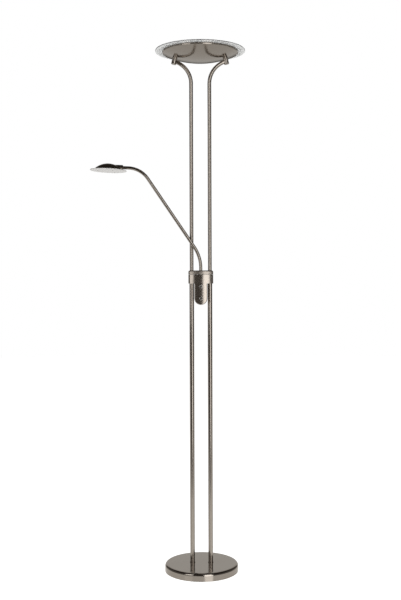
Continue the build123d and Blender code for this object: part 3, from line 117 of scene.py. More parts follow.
BOARD = (0.78, 0.79, 0.77)
BOARD_DARK = (0.66, 0.68, 0.66)
EPOXY = (0.05, 0.07, 0.20)
EPOXY_DARK = (0.03, 0.04, 0.13)
PHOSPHOR = (0.86, 0.66, 0.16)
PHOSPHOR_DARK = (0.74, 0.52, 0.10)
CASING = (0.80, 0.80, 0.78)
CASING_DARK = (0.70, 0.70, 0.68)
OPAL = (0.60, 0.59, 0.575)
OPAL_DARK = (0.575, 0.565, 0.55)
GLASS = (0.86, 0.87, 0.865)
GLASS_DARK = (0.835, 0.845, 0.84)
MARK_PAINT = (0.02, 0.02, 0.02)

# ---------------------------------------------------------------- grain of the surfaces
NOISE_RANGE = (0.3, 0.7)       # where most values of a noise texture lie
CLOUD_SCALE = 9.0              # slow variation of tone, per metre
TOUCH_SCALE = 34.0             # handling marks
PLAIN_CLOUD_SCALE = 22.0
GLASS_CLOUD_SCALE = 14.0
OPAL_CLOUD_SCALE = 30.0
METAL_MARK_DEPTH = 0.02 * MM
PLAIN_MARK_DEPTH = 0.05 * MM
FELT_FIBRE = 0.9 * MM
FELT_FUZZ = 0.4 * MM
FELT_DEPTH = 0.25 * MM
FELT_ROUGHNESS = (0.82, 0.98)
GLASS_ETCH = 0.18 * MM
OPAL_ETCH = 0.22 * MM
ETCH_DEPTH = 0.02 * MM
GLASS_ROUGHNESS = (0.26, 0.32)
BORDER_ROUGHNESS = 0.05
BORDER_BLEND = 0.3 * MM        # width over which the frosting ends at the border
OPAL_ROUGHNESS = (0.28, 0.34)

# ---------------------------------------------------------------- detail sizes
ARC_STEPS = 6                  # faces along a rounded corner
DISC_SEGMENTS = 192
ROUND_SEGMENTS = 96
GLASS_EDGE = 1.1 * MM
GLASS_BORDER_WIDTH = 9.0 * MM
OPAL_THICKNESS = 3.0 * MM
OPAL_EDGE = 1.0 * MM
GROMMET_BORE = 3.6 * MM
GROMMET_NECK = 4.5 * MM
GROMMET_FLANGE = 2.0 * MM
GROMMET_EDGE = 0.7 * MM
SCREW_SEGMENTS = 40
RECESS_WIDTH = 0.30            # shares of the screw head's radius
RECESS_REACH = 0.58
RECESS_DEPTH = 0.62            # share of the head's height
KNOB_FLUTES = 18
KNOB_STEPS_PER_FLUTE = 8
KNOB_FLUTE_DEPTH = 0.28 * MM
KNOB_PLAIN_BAND = 2.0 * MM
KNOB_RIM = 1.1 * MM            # radius of the rounded front edge
KNOB_DISH_RADIUS = 3.6 * MM
KNOB_DISH_DEPTH = 1.0 * MM
KNOB_DISH_EDGE = KNOB_RIM / 3
KNOB_FLUTE_GAP = 0.2 * MM      # between the plain band and the flutes
KNOB_MARK_HALF_ANGLE = 0.13    # radians
KNOB_MARK_FACING = -0.9        # the mark is on faces whose normal has a Y below this
SCREW_TIP_EDGE = 0.25          # share of the shank's radius
SCREW_SEAT_EDGE = 0.125        # shares of the head's height
SCREW_CROWN = 0.7
SCREW_END_DEPTH = 0.2 * MM     # points this near an end of a plain screw belong to that end
SCREW_MIDDLE = 0.5 * MM        # points nearer to the axis than this are the middle of an end
SCREW_TOLERANCE = 0.1 * MM
ON_AXIS = 1e-9
SAME_PLACE = 1e-6
ARM_TILT = 56                  # degrees from the horizontal


# ---------------------------------------------------------------- shader helpers
class Tree:
    """Short helpers that make and join the nodes of one shader."""

    def __init__(self, tree):
        self.tree = tree

    def node(self, kind, **settings):
        node = self.tree.nodes.new(kind)
        for key, value in settings.items():
            setattr(node, key, value)
        return node

    def link(self, output, socket):
        self.tree.links.new(output, socket)

    def axes(self, kind):
        """X, Y and Z of the texture coordinates of that kind."""
        parts = self.node("ShaderNodeSeparateXYZ")
        self.link(self.node("ShaderNodeTexCoord").outputs[kind], parts.inputs[0])
        return parts.outputs

    def ramp(self, value, low, high):
        """0 below the low limit, 1 above the high one, smooth between them."""
        node = self.node("ShaderNodeMapRange", interpolation_type="SMOOTHSTEP")
        node.inputs["From Min"].default_value = low
        node.inputs["From Max"].default_value = high
        self.link(value, node.inputs["Value"])
        return node.outputs["Result"]

    def math(self, operation, *values, clamp=False):
        """Result of an operation on values, each a number or the output of another node."""
        node = self.node("ShaderNodeMath", operation=operation, use_clamp=clamp)
        for socket, value in zip(node.inputs, values):
            if isinstance(value, float):
                socket.default_value = value
            else:
                self.link(value, socket)
        return node.outputs[0]

    def mix(self, factor, first, second):
        """Colour between two, each a colour or the output of another node."""
        node = self.node("ShaderNodeMix", data_type="RGBA")
        self.link(factor, node.inputs[0])
        for socket, value in ((node.inputs[6], first), (node.inputs[7], second)):
            if isinstance(value, tuple):
                socket.default_value = (*value, 1.0)
            else:
                self.link(value, socket)
        return node.outputs[2]

    def mix_shaders(self, factor, first, second):
        """Shader between two shader nodes."""
        node = self.node("ShaderNodeMixShader")
        self.link(factor, node.inputs[0])
        self.link(first.outputs[0], node.inputs[1])
        self.link(second.outputs[0], node.inputs[2])
        return node

    def add_shaders(self, first, second):
        node = self.node("ShaderNodeAddShader")
        self.link(first.outputs[0], node.inputs[0])
        self.link(second.outputs[0], node.inputs[1])
        return node


class Surface(Tree):
    """A node material: one Principled surface, with short helpers for the nodes that feed it."""

    def __init__(self, name, **constants):
        self.material = bpy.data.materials.new(name)
        self.material.use_nodes = True
        super().__init__(self.material.node_tree)
        self.shader = self.tree.nodes["Principled BSDF"]
        for socket, value in constants.items():
            self.shader.inputs[socket.replace("_", " ")].default_value = value

    def place(self):
        """Position in the lamp's frame, which moves with the piece."""
        return self.node("ShaderNodeTexCoord").outputs["Object"]

    def vector_math(self, operation, first, second=None):
        node = self.node("ShaderNodeVectorMath", operation=operation)
        self.link(first, node.inputs[0])
        if second is not None:
            node.inputs[1].default_value = second
        return node

    def noise(self, vector, scale, detail=4.0, roughness=0.55):
        node = self.node("ShaderNodeTexNoise")
        node.inputs["Scale"].default_value = scale
        node.inputs["Detail"].default_value = detail
        node.inputs["Roughness"].default_value = roughness
        self.link(vector, node.inputs["Vector"])
        return node.outputs["Fac"]

    def remap(self, value, low, high):
        """A noise value spread over the range from low to high."""
        node = self.node("ShaderNodeMapRange")
        node.inputs["From Min"].default_value = NOISE_RANGE[0]
        node.inputs["From Max"].default_value = NOISE_RANGE[1]
        node.inputs["To Min"].default_value = low
        node.inputs["To Max"].default_value = high
        self.link(value, node.inputs["Value"])
        return node.outputs["Result"]

    def average(self, first, second, share=0.5):
        node = self.node("ShaderNodeMix", data_type="FLOAT")
        node.inputs[0].default_value = share
        self.link(first, node.inputs[2])
        self.link(second, node.inputs[3])
        return node.outputs[0]

    def average_by(self, share, first, constant):
        """A value that gives way to a constant where the share is 1."""
        node = self.node("ShaderNodeMix", data_type="FLOAT")
        self.link(share, node.inputs[0])
        self.link(first, node.inputs[2])
        node.inputs[3].default_value = constant
        return node.outputs[0]

    def bump(self, height, strength, depth):
        node = self.node("ShaderNodeBump")
        node.inputs["Strength"].default_value = strength
        node.inputs["Distance"].default_value = depth
        self.link(height, node.inputs["Height"])
        self.link(node.outputs["Normal"], self.shader.inputs["Normal"])

    def feed(self, socket, value):
        self.link(value, self.shader.inputs[socket])


def spun_grain(surface, centre, pitch=0.35 * MM):
    """Fine rings about an upright axis, as a spinning lathe leaves them."""
    from_axis = surface.vector_math("SUBTRACT", surface.place(), (centre[0], centre[1], 0.0))
    flat = surface.vector_math("MULTIPLY", from_axis.outputs[0], (1.0, 1.0, 0.0))
    radius = surface.vector_math("LENGTH", flat.outputs[0]).outputs["Value"]
    along = surface.node("ShaderNodeCombineXYZ")
    surface.link(radius, along.inputs["X"])
    height = surface.node("ShaderNodeSeparateXYZ")
    surface.link(from_axis.outputs[0], height.inputs[0])
    surface.link(height.outputs["Z"], along.inputs["Z"])
    return surface.noise(along.outputs[0], 1 / pitch, detail=3.0)


def drawn_grain(surface, along, pitch=0.30 * MM, stretch=60.0):
    """Fine lines along one direction, as brushing or drawing leaves them."""
    turn = Vector(along).rotation_difference(Vector((0, 0, 1))).to_euler()
    mapping = surface.node("ShaderNodeMapping", vector_type="POINT")
    mapping.inputs["Rotation"].default_value = turn
    surface.link(surface.place(), mapping.inputs["Vector"])
    squeezed = surface.vector_math("MULTIPLY", mapping.outputs[0], (1.0, 1.0, 1 / stretch))
    return surface.noise(squeezed.outputs[0], 1 / pitch, detail=3.0)


def even_grain(surface, pitch=0.25 * MM):
    """Fine grain with no direction."""
    return surface.noise(surface.place(), 1 / pitch, detail=2.0)


def metal(name, grain, light, dark, roughness, spread=0.02, bump=0.05):
    """Metal with its tool marks, a faint clouding of its colour and handling marks in its gloss."""
    surface = Surface(name, Metallic=1.0)
    marks = grain(surface)
    clouds = surface.noise(surface.place(), CLOUD_SCALE, detail=3.0)
    touch = surface.noise(surface.place(), TOUCH_SCALE, detail=4.0, roughness=0.6)
    surface.feed("Base Color", surface.mix(surface.average(clouds, marks, 0.15), dark, light))
    worn = surface.average(touch, marks, 0.3)
    surface.feed("Roughness", surface.remap(worn, roughness - spread, roughness + spread))
    surface.bump(marks, bump, METAL_MARK_DEPTH)
    return surface.material


def plain(name, light, dark, roughness, pitch, bump, spread=0.06, **constants):
    """Moulded or painted stuff: fine surface grain, slow variation of its tone."""
    surface = Surface(name, **constants)
    grain = surface.noise(surface.place(), 1 / pitch, detail=4.0)
    clouds = surface.noise(surface.place(), PLAIN_CLOUD_SCALE, detail=4.0)
    surface.feed("Base Color", surface.mix(surface.average(clouds, grain, 0.5), dark, light))
    surface.feed("Roughness", surface.remap(grain, roughness - spread, roughness + spread))
    surface.bump(grain, bump, PLAIN_MARK_DEPTH)
    return surface.material


def felt():
    """Pressed felt: short fibres in all directions."""
    surface = Surface("felt", Sheen_Weight=0.35, Sheen_Roughness=0.6)
    fibres = surface.node("ShaderNodeTexVoronoi", feature="SMOOTH_F1")
    fibres.inputs["Scale"].default_value = 1 / FELT_FIBRE
    surface.link(surface.place(), fibres.inputs["Vector"])
    fuzz = surface.noise(surface.place(), 1 / FELT_FUZZ, detail=6.0, roughness=0.7)
    tone = surface.average(fibres.outputs["Distance"], fuzz)
    surface.feed("Base Color", surface.mix(tone, FELT, FELT_LIGHT))
    surface.feed("Roughness", surface.remap(fuzz, *FELT_ROUGHNESS))
    surface.bump(tone, 0.6, FELT_DEPTH)
    return surface.material


def frosted_glass():
    """Acid-etched glass with a clear polished border, a trace of unevenness in its tone."""
    surface = Surface("frosted_glass", IOR=1.5, Transmission_Weight=0.85)
    etch = surface.noise(surface.place(), 1 / GLASS_ETCH, detail=2.0)
    clouds = surface.noise(surface.place(), GLASS_CLOUD_SCALE, detail=3.0)
    surface.feed("Base Color", surface.mix(surface.average(clouds, etch, 0.1), GLASS_DARK, GLASS))
    flat = surface.vector_math("MULTIPLY", surface.place(), (1.0, 1.0, 0.0))
    radius = surface.vector_math("LENGTH", flat.outputs[0]).outputs["Value"]
    border = surface.ramp(radius, GLASS_BORDER - BORDER_BLEND, GLASS_BORDER)
    frost = surface.remap(etch, *GLASS_ROUGHNESS)
    surface.feed("Roughness", surface.average_by(border, frost, BORDER_ROUGHNESS))
    surface.bump(etch, 0.04, ETCH_DEPTH)
    return surface.material


def opal():
    """Opal acrylic with a satin face."""
    surface = Surface("opal", IOR=1.49)
    etch = surface.noise(surface.place(), 1 / OPAL_ETCH, detail=2.0)
    clouds = surface.noise(surface.place(), OPAL_CLOUD_SCALE, detail=3.0)
    surface.feed("Base Color", surface.mix(surface.average(clouds, etch, 0.1), OPAL_DARK, OPAL))
    surface.feed("Roughness", surface.remap(etch, *OPAL_ROUGHNESS))
    surface.bump(etch, 0.03, ETCH_DEPTH)
    return surface.material


# ---------------------------------------------------------------- places read from the frame
def joint(name):
    return next(entry for entry in frame["joints"] if entry["name"] == name)


def middle(node):
    low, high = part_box(node)
    return (Vector(low) + Vector(high)) / 2


HEAD_AXIS = Vector(joint("head_turn")["axis"]).normalized()
HEAD_PLACE = middle("reading_diffuser")
HEAD_TURN = Matrix.Rotation(math.atan2(HEAD_AXIS.z, -HEAD_AXIS.x), 4, "Y")
HEAD_UP = HEAD_TURN @ Vector((0, 0, 1))
GLASS_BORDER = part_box("uplight_glass")[1].x - GLASS_BORDER_WIDTH
ARM_SLOPE = (-math.cos(math.radians(ARM_TILT)), 0.0, math.sin(math.radians(ARM_TILT)))


# ---------------------------------------------------------------- materials of the carried-over nodes
def body_spun(name, node, roughness):
    centre = middle(node)
    return metal(name, lambda surface: spun_grain(surface, centre), NICKEL, NICKEL_DARK, roughness)


def body_drawn(name, along, roughness):
    return metal(name, lambda surface: drawn_grain(surface, along), NICKEL, NICKEL_DARK, roughness)


def build_materials():
    return {
        "base_nickel": body_spun("base_nickel", "base_shell", roughness=0.13),
        "bowl_nickel": body_spun("bowl_nickel", "uplight_bowl", roughness=0.15),
        "shade_nickel": metal("shade_nickel", lambda surface: spun_grain(surface, HEAD_PLACE),
                              NICKEL, NICKEL_DARK, roughness=0.17),
        "pole_nickel": body_drawn("pole_nickel", (0, 0, 1), roughness=0.16),
        "arm_nickel": body_drawn("arm_nickel", ARM_SLOPE, roughness=0.16),
        "collar_nickel": body_drawn("collar_nickel", (1, 0, 0), roughness=0.19),
        "cap_nickel": body_drawn("cap_nickel", (1, 0, 0), roughness=0.33),
        "chrome": metal("chrome", even_grain, CHROME, CHROME_DARK, roughness=0.07, spread=0.03, bump=0.03),
        "zinc": metal("zinc", even_grain, ZINC, ZINC_DARK, roughness=0.32),
        "aluminium": metal("aluminium", lambda surface: drawn_grain(surface, (0, 1, 0)),
                           ALUMINIUM, ALUMINIUM_DARK, roughness=0.34),
        "iron": plain("iron", IRON_PAINT, IRON_PAINT_DARK, roughness=0.62, pitch=1.6 * MM, bump=0.7),
        "felt": felt(),
        "rubber": plain("rubber", RUBBER_LIGHT, RUBBER, roughness=0.58, pitch=0.5 * MM, bump=0.25),
        "nylon": plain("nylon", NYLON, NYLON_DARK, roughness=0.42, pitch=0.7 * MM, bump=0.15),
        "sheath": plain("sheath", SHEATH_LIGHT, SHEATH, roughness=0.48, pitch=0.8 * MM, bump=0.15),
        "board": plain("board", BOARD, BOARD_DARK, roughness=0.34, pitch=0.9 * MM, bump=0.12),
        "epoxy": plain("epoxy", EPOXY, EPOXY_DARK, roughness=0.36, pitch=0.8 * MM, bump=0.15),
        "phosphor": plain("phosphor", PHOSPHOR, PHOSPHOR_DARK, roughness=0.25, pitch=0.5 * MM, bump=0.10),
        "casing": plain("casing", CASING, CASING_DARK, roughness=0.46, pitch=0.6 * MM, bump=0.20),
        "frosted_glass": frosted_glass(),
        "opal": opal(),
        "paint": plain("paint", MARK_PAINT, MARK_PAINT, roughness=0.5, pitch=0.4 * MM, bump=0.1),
    }


NODES_BY_MATERIAL = {
    "base_nickel": ("base_shell", "foot_rings"),
    "bowl_nickel": ("uplight_bowl",),
    "shade_nickel": ("reading_shade",),
    "pole_nickel": ("lower_pole_left", "lower_pole_right", "upper_pole_left", "upper_pole_right",
                    "head_post_left", "head_post_right"),
    "arm_nickel": ("reading_arm", "arm_thrust_collar"),
    "collar_nickel": ("front_cover", "rear_cover", "tongue_back_plate"),
    "cap_nickel": ("top_cap",),
    "chrome": ("uplight_knob", "reading_knob", "diffuser_screws"),
    "zinc": ("base_screws", "foot_studs", "stud_nuts", "pole_joiners", "pole_grub_screws",
             "front_cover_nuts", "collar_screws", "tongue_screws", "uplight_knob_shaft",
             "reading_knob_shaft", "arm_retaining_nut", "arm_end_nipple", "pivot_nut", "post_nipples",
             "post_nuts", "plate_screws", "plate_pillars", "collar_block"),
    "aluminium": ("base_cover_plate", "pivot_block", "reading_heat_plate", "uplight_heat_plate"),
    "iron": ("base_weight",),
    "felt": ("base_pad",),
    "rubber": ("cord_grommet", "rim_gasket"),
    "nylon": ("arm_bush", "arm_friction_washer", "diffuser_spacers"),
    "sheath": ("pole_wires", "arm_wire"),
    "board": ("dimmer_board", "reading_light_board", "uplight_light_board"),
    "epoxy": ("board_components", "dimmers"),
    "phosphor": ("reading_lights", "uplight_lights"),
    "casing": ("uplight_driver",),
    "frosted_glass": ("uplight_glass",),
    "opal": ("reading_diffuser",),
}


def dress_nodes(materials):
    for name, nodes in NODES_BY_MATERIAL.items():
        for node in nodes:
            slots = frame["nodes"][node].data.materials
            slots.clear()
            slots.append(materials[name])


# ---------------------------------------------------------------- modelled pieces
def rounded(corners, steps=ARC_STEPS):
    """Points of an outline whose corners (distance, height, radius) are rounded by their radius."""
    points = []
    for index, (across, along, radius) in enumerate(corners):
        here = Vector((across, along))
        before = Vector(corners[index - 1][:2]) - here
        after = Vector(corners[(index + 1) % len(corners)][:2]) - here
        if radius == 0:
            points.append(here)
            continue
        half = before.angle(after) / 2
        reach = radius / math.tan(half)
        start = here + before.normalized() * reach
        end = here + after.normalized() * reach
        inward = (before.normalized() + after.normalized()).normalized()
        centre = here + inward * (radius / math.sin(half))
        for step in range(steps + 1):
            chord = start.lerp(end, step / steps) - centre
            points.append(centre + chord.normalized() * radius)
    return points


def lathe(name, outline, segments):
    """Closed outline turned about the Z axis. Outline points on the axis become one vertex."""
    shape = bmesh.new()
    rings = []
    for across, along in outline:
        if across < ON_AXIS:
            rings.append([shape.verts.new((0, 0, along))] * segments)
            continue
        angles = [2 * math.pi * i / segments for i in range(segments)]
        places = [(across * math.cos(angle), across * math.sin(angle), along) for angle in angles]
        rings.append([shape.verts.new(place) for place in places])
    for ring, following in zip(rings, rings[1:] + rings[:1]):
        for i in range(segments):
            k = (i + 1) % segments
            corners = dict.fromkeys((ring[i], ring[k], following[k], following[i]))
            if len(corners) > 2:
                shape.faces.new(list(corners))
    return finished(name, shape)


def finished(name, shape):
    """Object made from a mesh in the making, with smooth faces."""
    bmesh.ops.recalc_face_normals(shape, faces=shape.faces)
    for face in shape.faces:
        face.smooth = True
    mesh = bpy.data.meshes.new(name)
    shape.to_mesh(mesh)
    shape.free()
    piece = bpy.data.objects.new(name, mesh)
    bpy.context.scene.collection.objects.link(piece)
    return piece


def flatten_normals(piece):
    """Shading that keeps the large flat faces flat."""
    normals = piece.modifiers.new("normals", "WEIGHTED_NORMAL")
    normals.keep_sharp = True


def install(piece, node, body, material):
    """The piece stands for the node, moves with its body and wears the material."""
    piece.data.materials.clear()
    piece.data.materials.append(material)
    flatten_normals(piece)
    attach(piece, body)
    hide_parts(node)


def glass_disc(materials):
    low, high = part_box("uplight_glass")
    outline = rounded([
        (0, low.z, 0), (high.x, low.z, GLASS_EDGE), (high.x, high.z, GLASS_EDGE), (0, high.z, 0),
    ])
    piece = lathe("glass_disc", outline, DISC_SEGMENTS)
    install(piece, "uplight_glass", "stand", materials["frosted_glass"])


def opal_disc(materials):
    low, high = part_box("reading_diffuser")
    radius = (high.y - low.y) / 2
    half = OPAL_THICKNESS / 2
    outline = rounded([(0, -half, 0), (radius, -half, OPAL_EDGE), (radius, half, OPAL_EDGE), (0, half, 0)])
    piece = lathe("opal_disc", outline, DISC_SEGMENTS)
    piece.data.transform(Matrix.Translation(HEAD_PLACE) @ HEAD_TURN)
    install(piece, "reading_diffuser", "reading_head", materials["opal"])


def grommet(materials):
    """Rubber grommet: two flanges on a neck round the bore."""
    low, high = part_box("cord_grommet")
    flange = (high.x - low.x) / 2
    length = high.y - low.y
    lip = GROMMET_FLANGE
    outline = rounded([
        (GROMMET_BORE, 0, GROMMET_EDGE), (flange, 0, GROMMET_EDGE),
        (flange, lip, GROMMET_EDGE), (GROMMET_NECK, lip, 0),
        (GROMMET_NECK, length - lip, 0), (flange, length - lip, GROMMET_EDGE),
        (flange, length, GROMMET_EDGE), (GROMMET_BORE, length, GROMMET_EDGE),
    ])
    piece = lathe("grommet", outline, ROUND_SEGMENTS)
    place = Vector(((low.x + high.x) / 2, low.y, (low.z + high.z) / 2))
    piece.data.transform(Matrix.Translation(place) @ Matrix.Rotation(-math.pi / 2, 4, "X"))
    install(piece, "cord_grommet", "stand", materials["rubber"])


def knob(name, body, materials):
    """Fluted knob with a rounded rim, a dished face and a painted mark on its rim."""
    low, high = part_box(name)
    radius = (high.x - low.x) / 2
    length = high.y - low.y
    dish = length - KNOB_DISH_DEPTH
    outline = rounded([
        (0, 0, 0), (radius, 0, 0), (radius, KNOB_PLAIN_BAND, 0), (radius, length, KNOB_RIM),
        (KNOB_DISH_RADIUS, length, KNOB_DISH_EDGE),
        (KNOB_DISH_RADIUS - KNOB_DISH_DEPTH, dish, KNOB_DISH_EDGE), (0, dish, 0),
    ])
    piece = lathe("piece_" + name, outline, KNOB_FLUTES * KNOB_STEPS_PER_FLUTE)
    fluted = (KNOB_PLAIN_BAND + KNOB_FLUTE_GAP, length - KNOB_RIM / 2)
    for vertex in piece.data.vertices:
        place = vertex.co
        across = Vector(place[:2])
        if fluted[0] < place.z < fluted[1] and across.length > KNOB_DISH_RADIUS + KNOB_RIM:
            wave = (0.5 + 0.5 * math.cos(KNOB_FLUTES * math.atan2(place.y, place.x))) ** 2
            across *= 1 - wave * KNOB_FLUTE_DEPTH / radius
            vertex.co = (*across, place.z)
    centre = middle(name)
    turn = Matrix.Rotation(math.pi / 2, 4, "X")
    piece.data.transform(Matrix.Translation((centre.x, high.y, centre.z)) @ turn)
    install(piece, name, body, materials["chrome"])
    paint_mark(piece, centre, materials["paint"])


def paint_mark(piece, centre, material):
    """Dark pointer on the knob's rim, straight up at rest."""
    piece.data.materials.append(material)
    for face in piece.data.polygons:
        place = face.center - centre
        across = Vector((place.x, place.z))
        upward = abs(math.atan2(place.x, place.z)) < KNOB_MARK_HALF_ANGLE
        at_front = place.y < 0 and face.normal.y < KNOB_MARK_FACING
        if upward and at_front and across.length > KNOB_DISH_RADIUS:
            face.material_index = 1


def loose_parts(node):
    """Vertex positions of each separate solid of a CAD node."""
    shape = bmesh.new()
    shape.from_mesh(frame["nodes"][node].data)
    bmesh.ops.remove_doubles(shape, verts=shape.verts, dist=SAME_PLACE)
    waiting = set(shape.verts)
    parts = []
    while waiting:
        found = [waiting.pop()]
        for vertex in found:
            near = {edge.other_vert(vertex) for edge in vertex.link_edges} & waiting
            waiting -= near
            found.extend(near)
        parts.append([vertex.co.copy() for vertex in found])
    shape.free()
    return parts


def screw_axis(points, directions):
    """Direction that the screw is longest in, towards its head, and a point on its axis."""
    def spread(direction):
        places = [point.dot(direction) for point in points]
        return max(places) - min(places)
    along = max(directions, key=spread)
    low = min(point.dot(along) for point in points)
    high = max(point.dot(along) for point in points)
    centre = sum(points, Vector()) / len(points)
    ends = []
    for level in (low, high):
        ring = [point for point in points if abs(point.dot(along) - level) < SCREW_END_DEPTH]
        middle_point = sum(ring, Vector()) / len(ring)
        ends.append(max((point - middle_point).length for point in ring))
    return (-along if ends[0] > ends[1] else along), centre


def screw_shape(head_radius, head_height, shank_radius, length):
    """Pan-head screw with a cross recess. Its seat is at Z = 0 and its head points up."""
    outline = rounded([
        (0, -length, 0), (shank_radius, -length, shank_radius * SCREW_TIP_EDGE), (shank_radius, 0, 0),
        (head_radius, 0, head_height * SCREW_SEAT_EDGE),
        (head_radius, head_height, head_height * SCREW_CROWN), (0, head_height, 0),
    ])
    body = lathe("screw", outline, SCREW_SEGMENTS)
    shape = bmesh.new()
    for size in ((RECESS_REACH, RECESS_WIDTH / 2), (RECESS_WIDTH / 2, RECESS_REACH)):
        cut = bmesh.ops.create_cube(shape, size=2.0)
        scale = (size[0] * head_radius, size[1] * head_radius, RECESS_DEPTH * head_height)
        bmesh.ops.scale(shape, verts=cut["verts"], vec=scale)
        bmesh.ops.translate(shape, verts=cut["verts"], vec=(0, 0, head_height))
    cutter = finished("recess", shape)
    cutting = body.modifiers.new("recess", "BOOLEAN")
    cutting.object = cutter
    cutting.operation = "DIFFERENCE"
    cutting.solver = "EXACT"
    cutting.use_self = True
    bpy.context.view_layer.update()
    mesh = bpy.data.meshes.new_from_object(body.evaluated_get(bpy.context.evaluated_depsgraph_get()))
    bpy.data.objects.remove(body)
    bpy.data.objects.remove(cutter)
    return mesh


def screws(name, node, body, material, directions):
    """Screws in the place of the node's plain ones."""
    shape = bmesh.new()
    for points in loose_parts(node):
        along, centre = screw_axis(points, directions)
        heights = [point.dot(along) for point in points]
        spans = [(point - centre).cross(along).length for point in points]
        head_radius = max(spans)
        tip = min(heights)
        at_tip = [span for span, height in zip(spans, heights) if height < tip + SCREW_END_DEPTH]
        shank_radius = min(span for span in at_tip if span > SCREW_MIDDLE)
        at_rim = [height for span, height in zip(spans, heights) if span > head_radius - SCREW_TOLERANCE]
        seat = min(at_rim)
        mesh = screw_shape(head_radius, max(heights) - seat, shank_radius, seat - tip)
        start = centre + along * (seat - centre.dot(along))
        mesh.transform(Matrix.Translation(start) @ along.to_track_quat("Z", "Y").to_matrix().to_4x4())
        shape.from_mesh(mesh)
    piece = finished(name, shape)
    install(piece, node, body, material)


def build_pieces(materials):
    glass_disc(materials)
    opal_disc(materials)
    grommet(materials)
    knob("uplight_knob", "uplight_control", materials)
    knob("reading_knob", "reading_control", materials)
    square = [Vector((0, 1, 0)), Vector((0, 0, 1))]
    for node in ("base_screws", "collar_screws", "tongue_screws"):
        screws("piece_" + node, node, "stand", materials["zinc"], square)
    screws("piece_diffuser_screws", "diffuser_screws", "reading_head",
           materials["chrome"], [HEAD_UP])


# ---------------------------------------------------------------- studio
def tinted(level, tint):
    return tuple(level * part for part in tint)


def first_sight(tree):
    """1 where the camera looks at a thing itself or through glass at it, 0 where metal mirrors it."""
    path = tree.node("ShaderNodeLightPath")
    unmirrored = tree.math("LESS_THAN", path.outputs["Glossy Depth"], UNMIRRORED)
    through = tree.math("MULTIPLY", path.outputs["Is Transmission Ray"], unmirrored)
    return tree.math("MAXIMUM", path.outputs["Is Camera Ray"], through)


def mirrored_times(tree, clamp=False):
    """How many times a ray was mirrored, or 0 where its last step wasn't a mirroring."""
    path = tree.node("ShaderNodeLightPath")
    return tree.math("MULTIPLY", path.outputs["Is Glossy Ray"], path.outputs["Glossy Depth"], clamp=clamp)


def add_world():
    """White to the camera and through glass. The metal mirrors a dark studio with a darker ceiling."""
    world = bpy.data.worlds.new("studio")
    world.use_nodes = True
    tree = Tree(world.node_tree)
    direction = tree.axes("Generated")
    aside = tree.ramp(tree.math("ABSOLUTE", direction["X"]), *SIDE_EDGE)
    walls = tree.mix(aside, tinted(FRONT_LEVEL, FRONT_TINT), tinted(SIDE_LEVEL, SIDE_TINT))
    above = tree.ramp(direction["Z"], *CEILING_EDGE)
    room = tree.mix(above, walls, tinted(FRONT_LEVEL * CEILING_SHARE, FRONT_TINT))
    colour = tree.mix(first_sight(tree), room, WHITE)
    tree.link(colour, world.node_tree.nodes["Background"].inputs["Color"])
    world.cycles.sampling_method = "NONE"
    bpy.context.scene.world = world


def studio_material(name):
    """Empty node material and its helpers."""
    material = bpy.data.materials.new(name)
    material.use_nodes = True
    material.node_tree.nodes.clear()
    return material, Tree(material.node_tree)


def floor_material():
    """White to the camera, too bright for a shadow to show. The metal mirrors it pale and a little glossy."""
    material, tree = studio_material("studio_floor")
    matte = tree.node("ShaderNodeBsdfDiffuse")
    matte.inputs["Color"].default_value = (FLOOR_COLOUR, FLOOR_COLOUR, FLOOR_COLOUR, 1.0)
    glow = tree.node("ShaderNodeEmission")
    glow.inputs["Strength"].default_value = FLOOR_GLOW
    seen = tree.add_shaders(matte, glow)
    sheen = tree.node("ShaderNodeBsdfGlossy")
    sheen.inputs["Roughness"].default_value = FLOOR_ROUGHNESS
    sheen.inputs["Color"].default_value = (FLOOR_GLOSS, FLOOR_GLOSS, FLOOR_GLOSS, 1.0)
    depth = tree.axes("Object")["Y"]
    front, back = tinted(FLOOR_FRONT_LEVEL, BACK_TINT), tinted(FLOOR_BACK_LEVEL, BACK_TINT)
    lit = tree.mix(tree.ramp(depth, *FLOOR_MIDDLE), front, back)
    near = tree.ramp(depth, *FLOOR_EDGE)
    pale = tree.node("ShaderNodeEmission")
    tree.link(tree.mix(near, tinted(FRONT_LEVEL, FRONT_TINT), lit), pale.inputs["Color"])
    mirrored = tree.add_shaders(sheen, pale)
    choice = tree.mix_shaders(mirrored_times(tree, clamp=True), seen, mirrored)
    tree.link(choice.outputs[0], tree.node("ShaderNodeOutputMaterial").inputs["Surface"])
    return material


def sheet_material():
    """Pale sheet that only mirrored rays see. It fades out at its top and at its sides."""
    material, tree = studio_material("studio_sheet")
    place = tree.axes("Object")
    over = tree.ramp(place["Z"], *SHEET_FADE)
    beside = tree.ramp(tree.math("ABSOLUTE", place["X"]), *SHEET_SIDE_FADE)
    inside = tree.math("SUBTRACT", 1.0, tree.math("MAXIMUM", over, beside))
    shown = tree.math("MULTIPLY", mirrored_times(tree), inside, clamp=True)
    glow = tree.node("ShaderNodeEmission")
    glow.inputs["Color"].default_value = (*tinted(BACK_LEVEL, BACK_TINT), 1.0)
    choice = tree.mix_shaders(shown, tree.node("ShaderNodeBsdfTransparent"), glow)
    tree.link(choice.outputs[0], tree.node("ShaderNodeOutputMaterial").inputs["Surface"])
    return material


def add_sheet():
    shape = bmesh.new()
    corners = [(side * SHEET_HALF_WIDTH, SHEET_Y, height)
               for side, height in ((-1, 0), (1, 0), (1, SHEET_HEIGHT), (-1, SHEET_HEIGHT))]
    shape.faces.new([shape.verts.new(corner) for corner in corners])
    mesh = bpy.data.meshes.new("studio_sheet")
    shape.to_mesh(mesh)
    shape.free()
    sheet = bpy.data.objects.new("studio_sheet", mesh)
    sheet.data.materials.append(sheet_material())
    sheet.visible_diffuse = False
    sheet.visible_shadow = False
    bpy.context.scene.collection.objects.link(sheet)


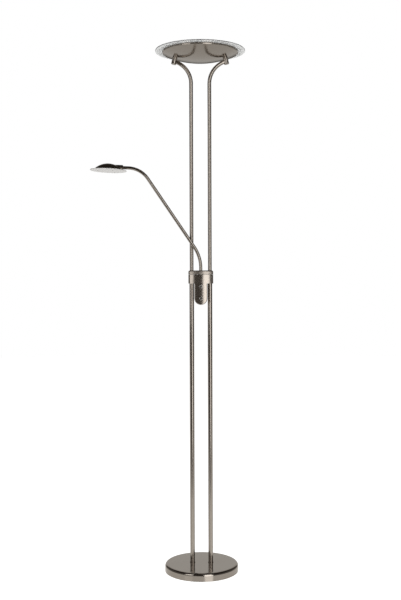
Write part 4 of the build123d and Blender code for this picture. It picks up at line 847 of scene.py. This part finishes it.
def add_floor():
    mesh = bpy.data.meshes.new("studio_floor")
    shape = bmesh.new()
    bmesh.ops.create_circle(shape, cap_ends=True, radius=FLOOR_RADIUS, segments=ROUND_SEGMENTS)
    shape.to_mesh(mesh)
    shape.free()
    floor = bpy.data.objects.new("studio_floor", mesh)
    floor.data.materials.append(floor_material())
    bpy.context.scene.collection.objects.link(floor)


def add_area_light(name, place, aim, width, height, radiance, mirrored=True):
    data = bpy.data.lights.new(name, "AREA")
    data.shape = "RECTANGLE"
    data.size = width
    data.size_y = height
    data.energy = radiance * math.pi * width * height
    light = bpy.data.objects.new(name, data)
    turn = (place - aim).to_track_quat("Z", "Y").to_matrix().to_4x4()
    light.matrix_world = Matrix.Translation(place) @ turn
    light.visible_camera = False
    light.visible_glossy = mirrored
    bpy.context.scene.collection.objects.link(light)


def add_lights():
    for name, (side, half, low, high, radiance) in SOFTBOXES.items():
        turn = math.radians(side)
        height = (low + high) / 2
        place = Vector((SOFTBOX_DISTANCE * math.sin(turn), -SOFTBOX_DISTANCE * math.cos(turn), height))
        width = 2 * SOFTBOX_DISTANCE * math.tan(math.radians(half))
        add_area_light(name, place, Vector((0, 0, height)), width, high - low, radiance)
    above = Vector((0, TOP_LIGHT_Y, TOP_LIGHT_HEIGHT))
    size = TOP_LIGHT_SIZE
    add_area_light("top_light", above, Vector((0, 0, 0)), size, size, TOP_LIGHT_RADIANCE, mirrored=False)


def add_camera():
    data = bpy.data.cameras.new("camera")
    data.sensor_fit = "HORIZONTAL"
    data.sensor_width = SENSOR_WIDTH
    data.lens = FOCAL_PIXELS * SENSOR_WIDTH / PHOTO_WIDTH
    camera = bpy.data.objects.new("camera", data)
    tilt = Matrix.Rotation(math.pi / 2 - CAMERA_PITCH, 4, "X")
    roll = Matrix.Rotation(CAMERA_ROLL, 4, "Z")
    camera.matrix_world = Matrix.Translation(CAMERA_PLACE) @ tilt @ roll
    bpy.context.scene.collection.objects.link(camera)
    bpy.context.scene.camera = camera


# ---------------------------------------------------------------- the scene
def build():
    materials = build_materials()
    dress_nodes(materials)
    build_pieces(materials)
    add_world()
    add_floor()
    add_sheet()
    add_lights()
    add_camera()
    bpy.context.scene.view_settings.view_transform = "Standard"


build()
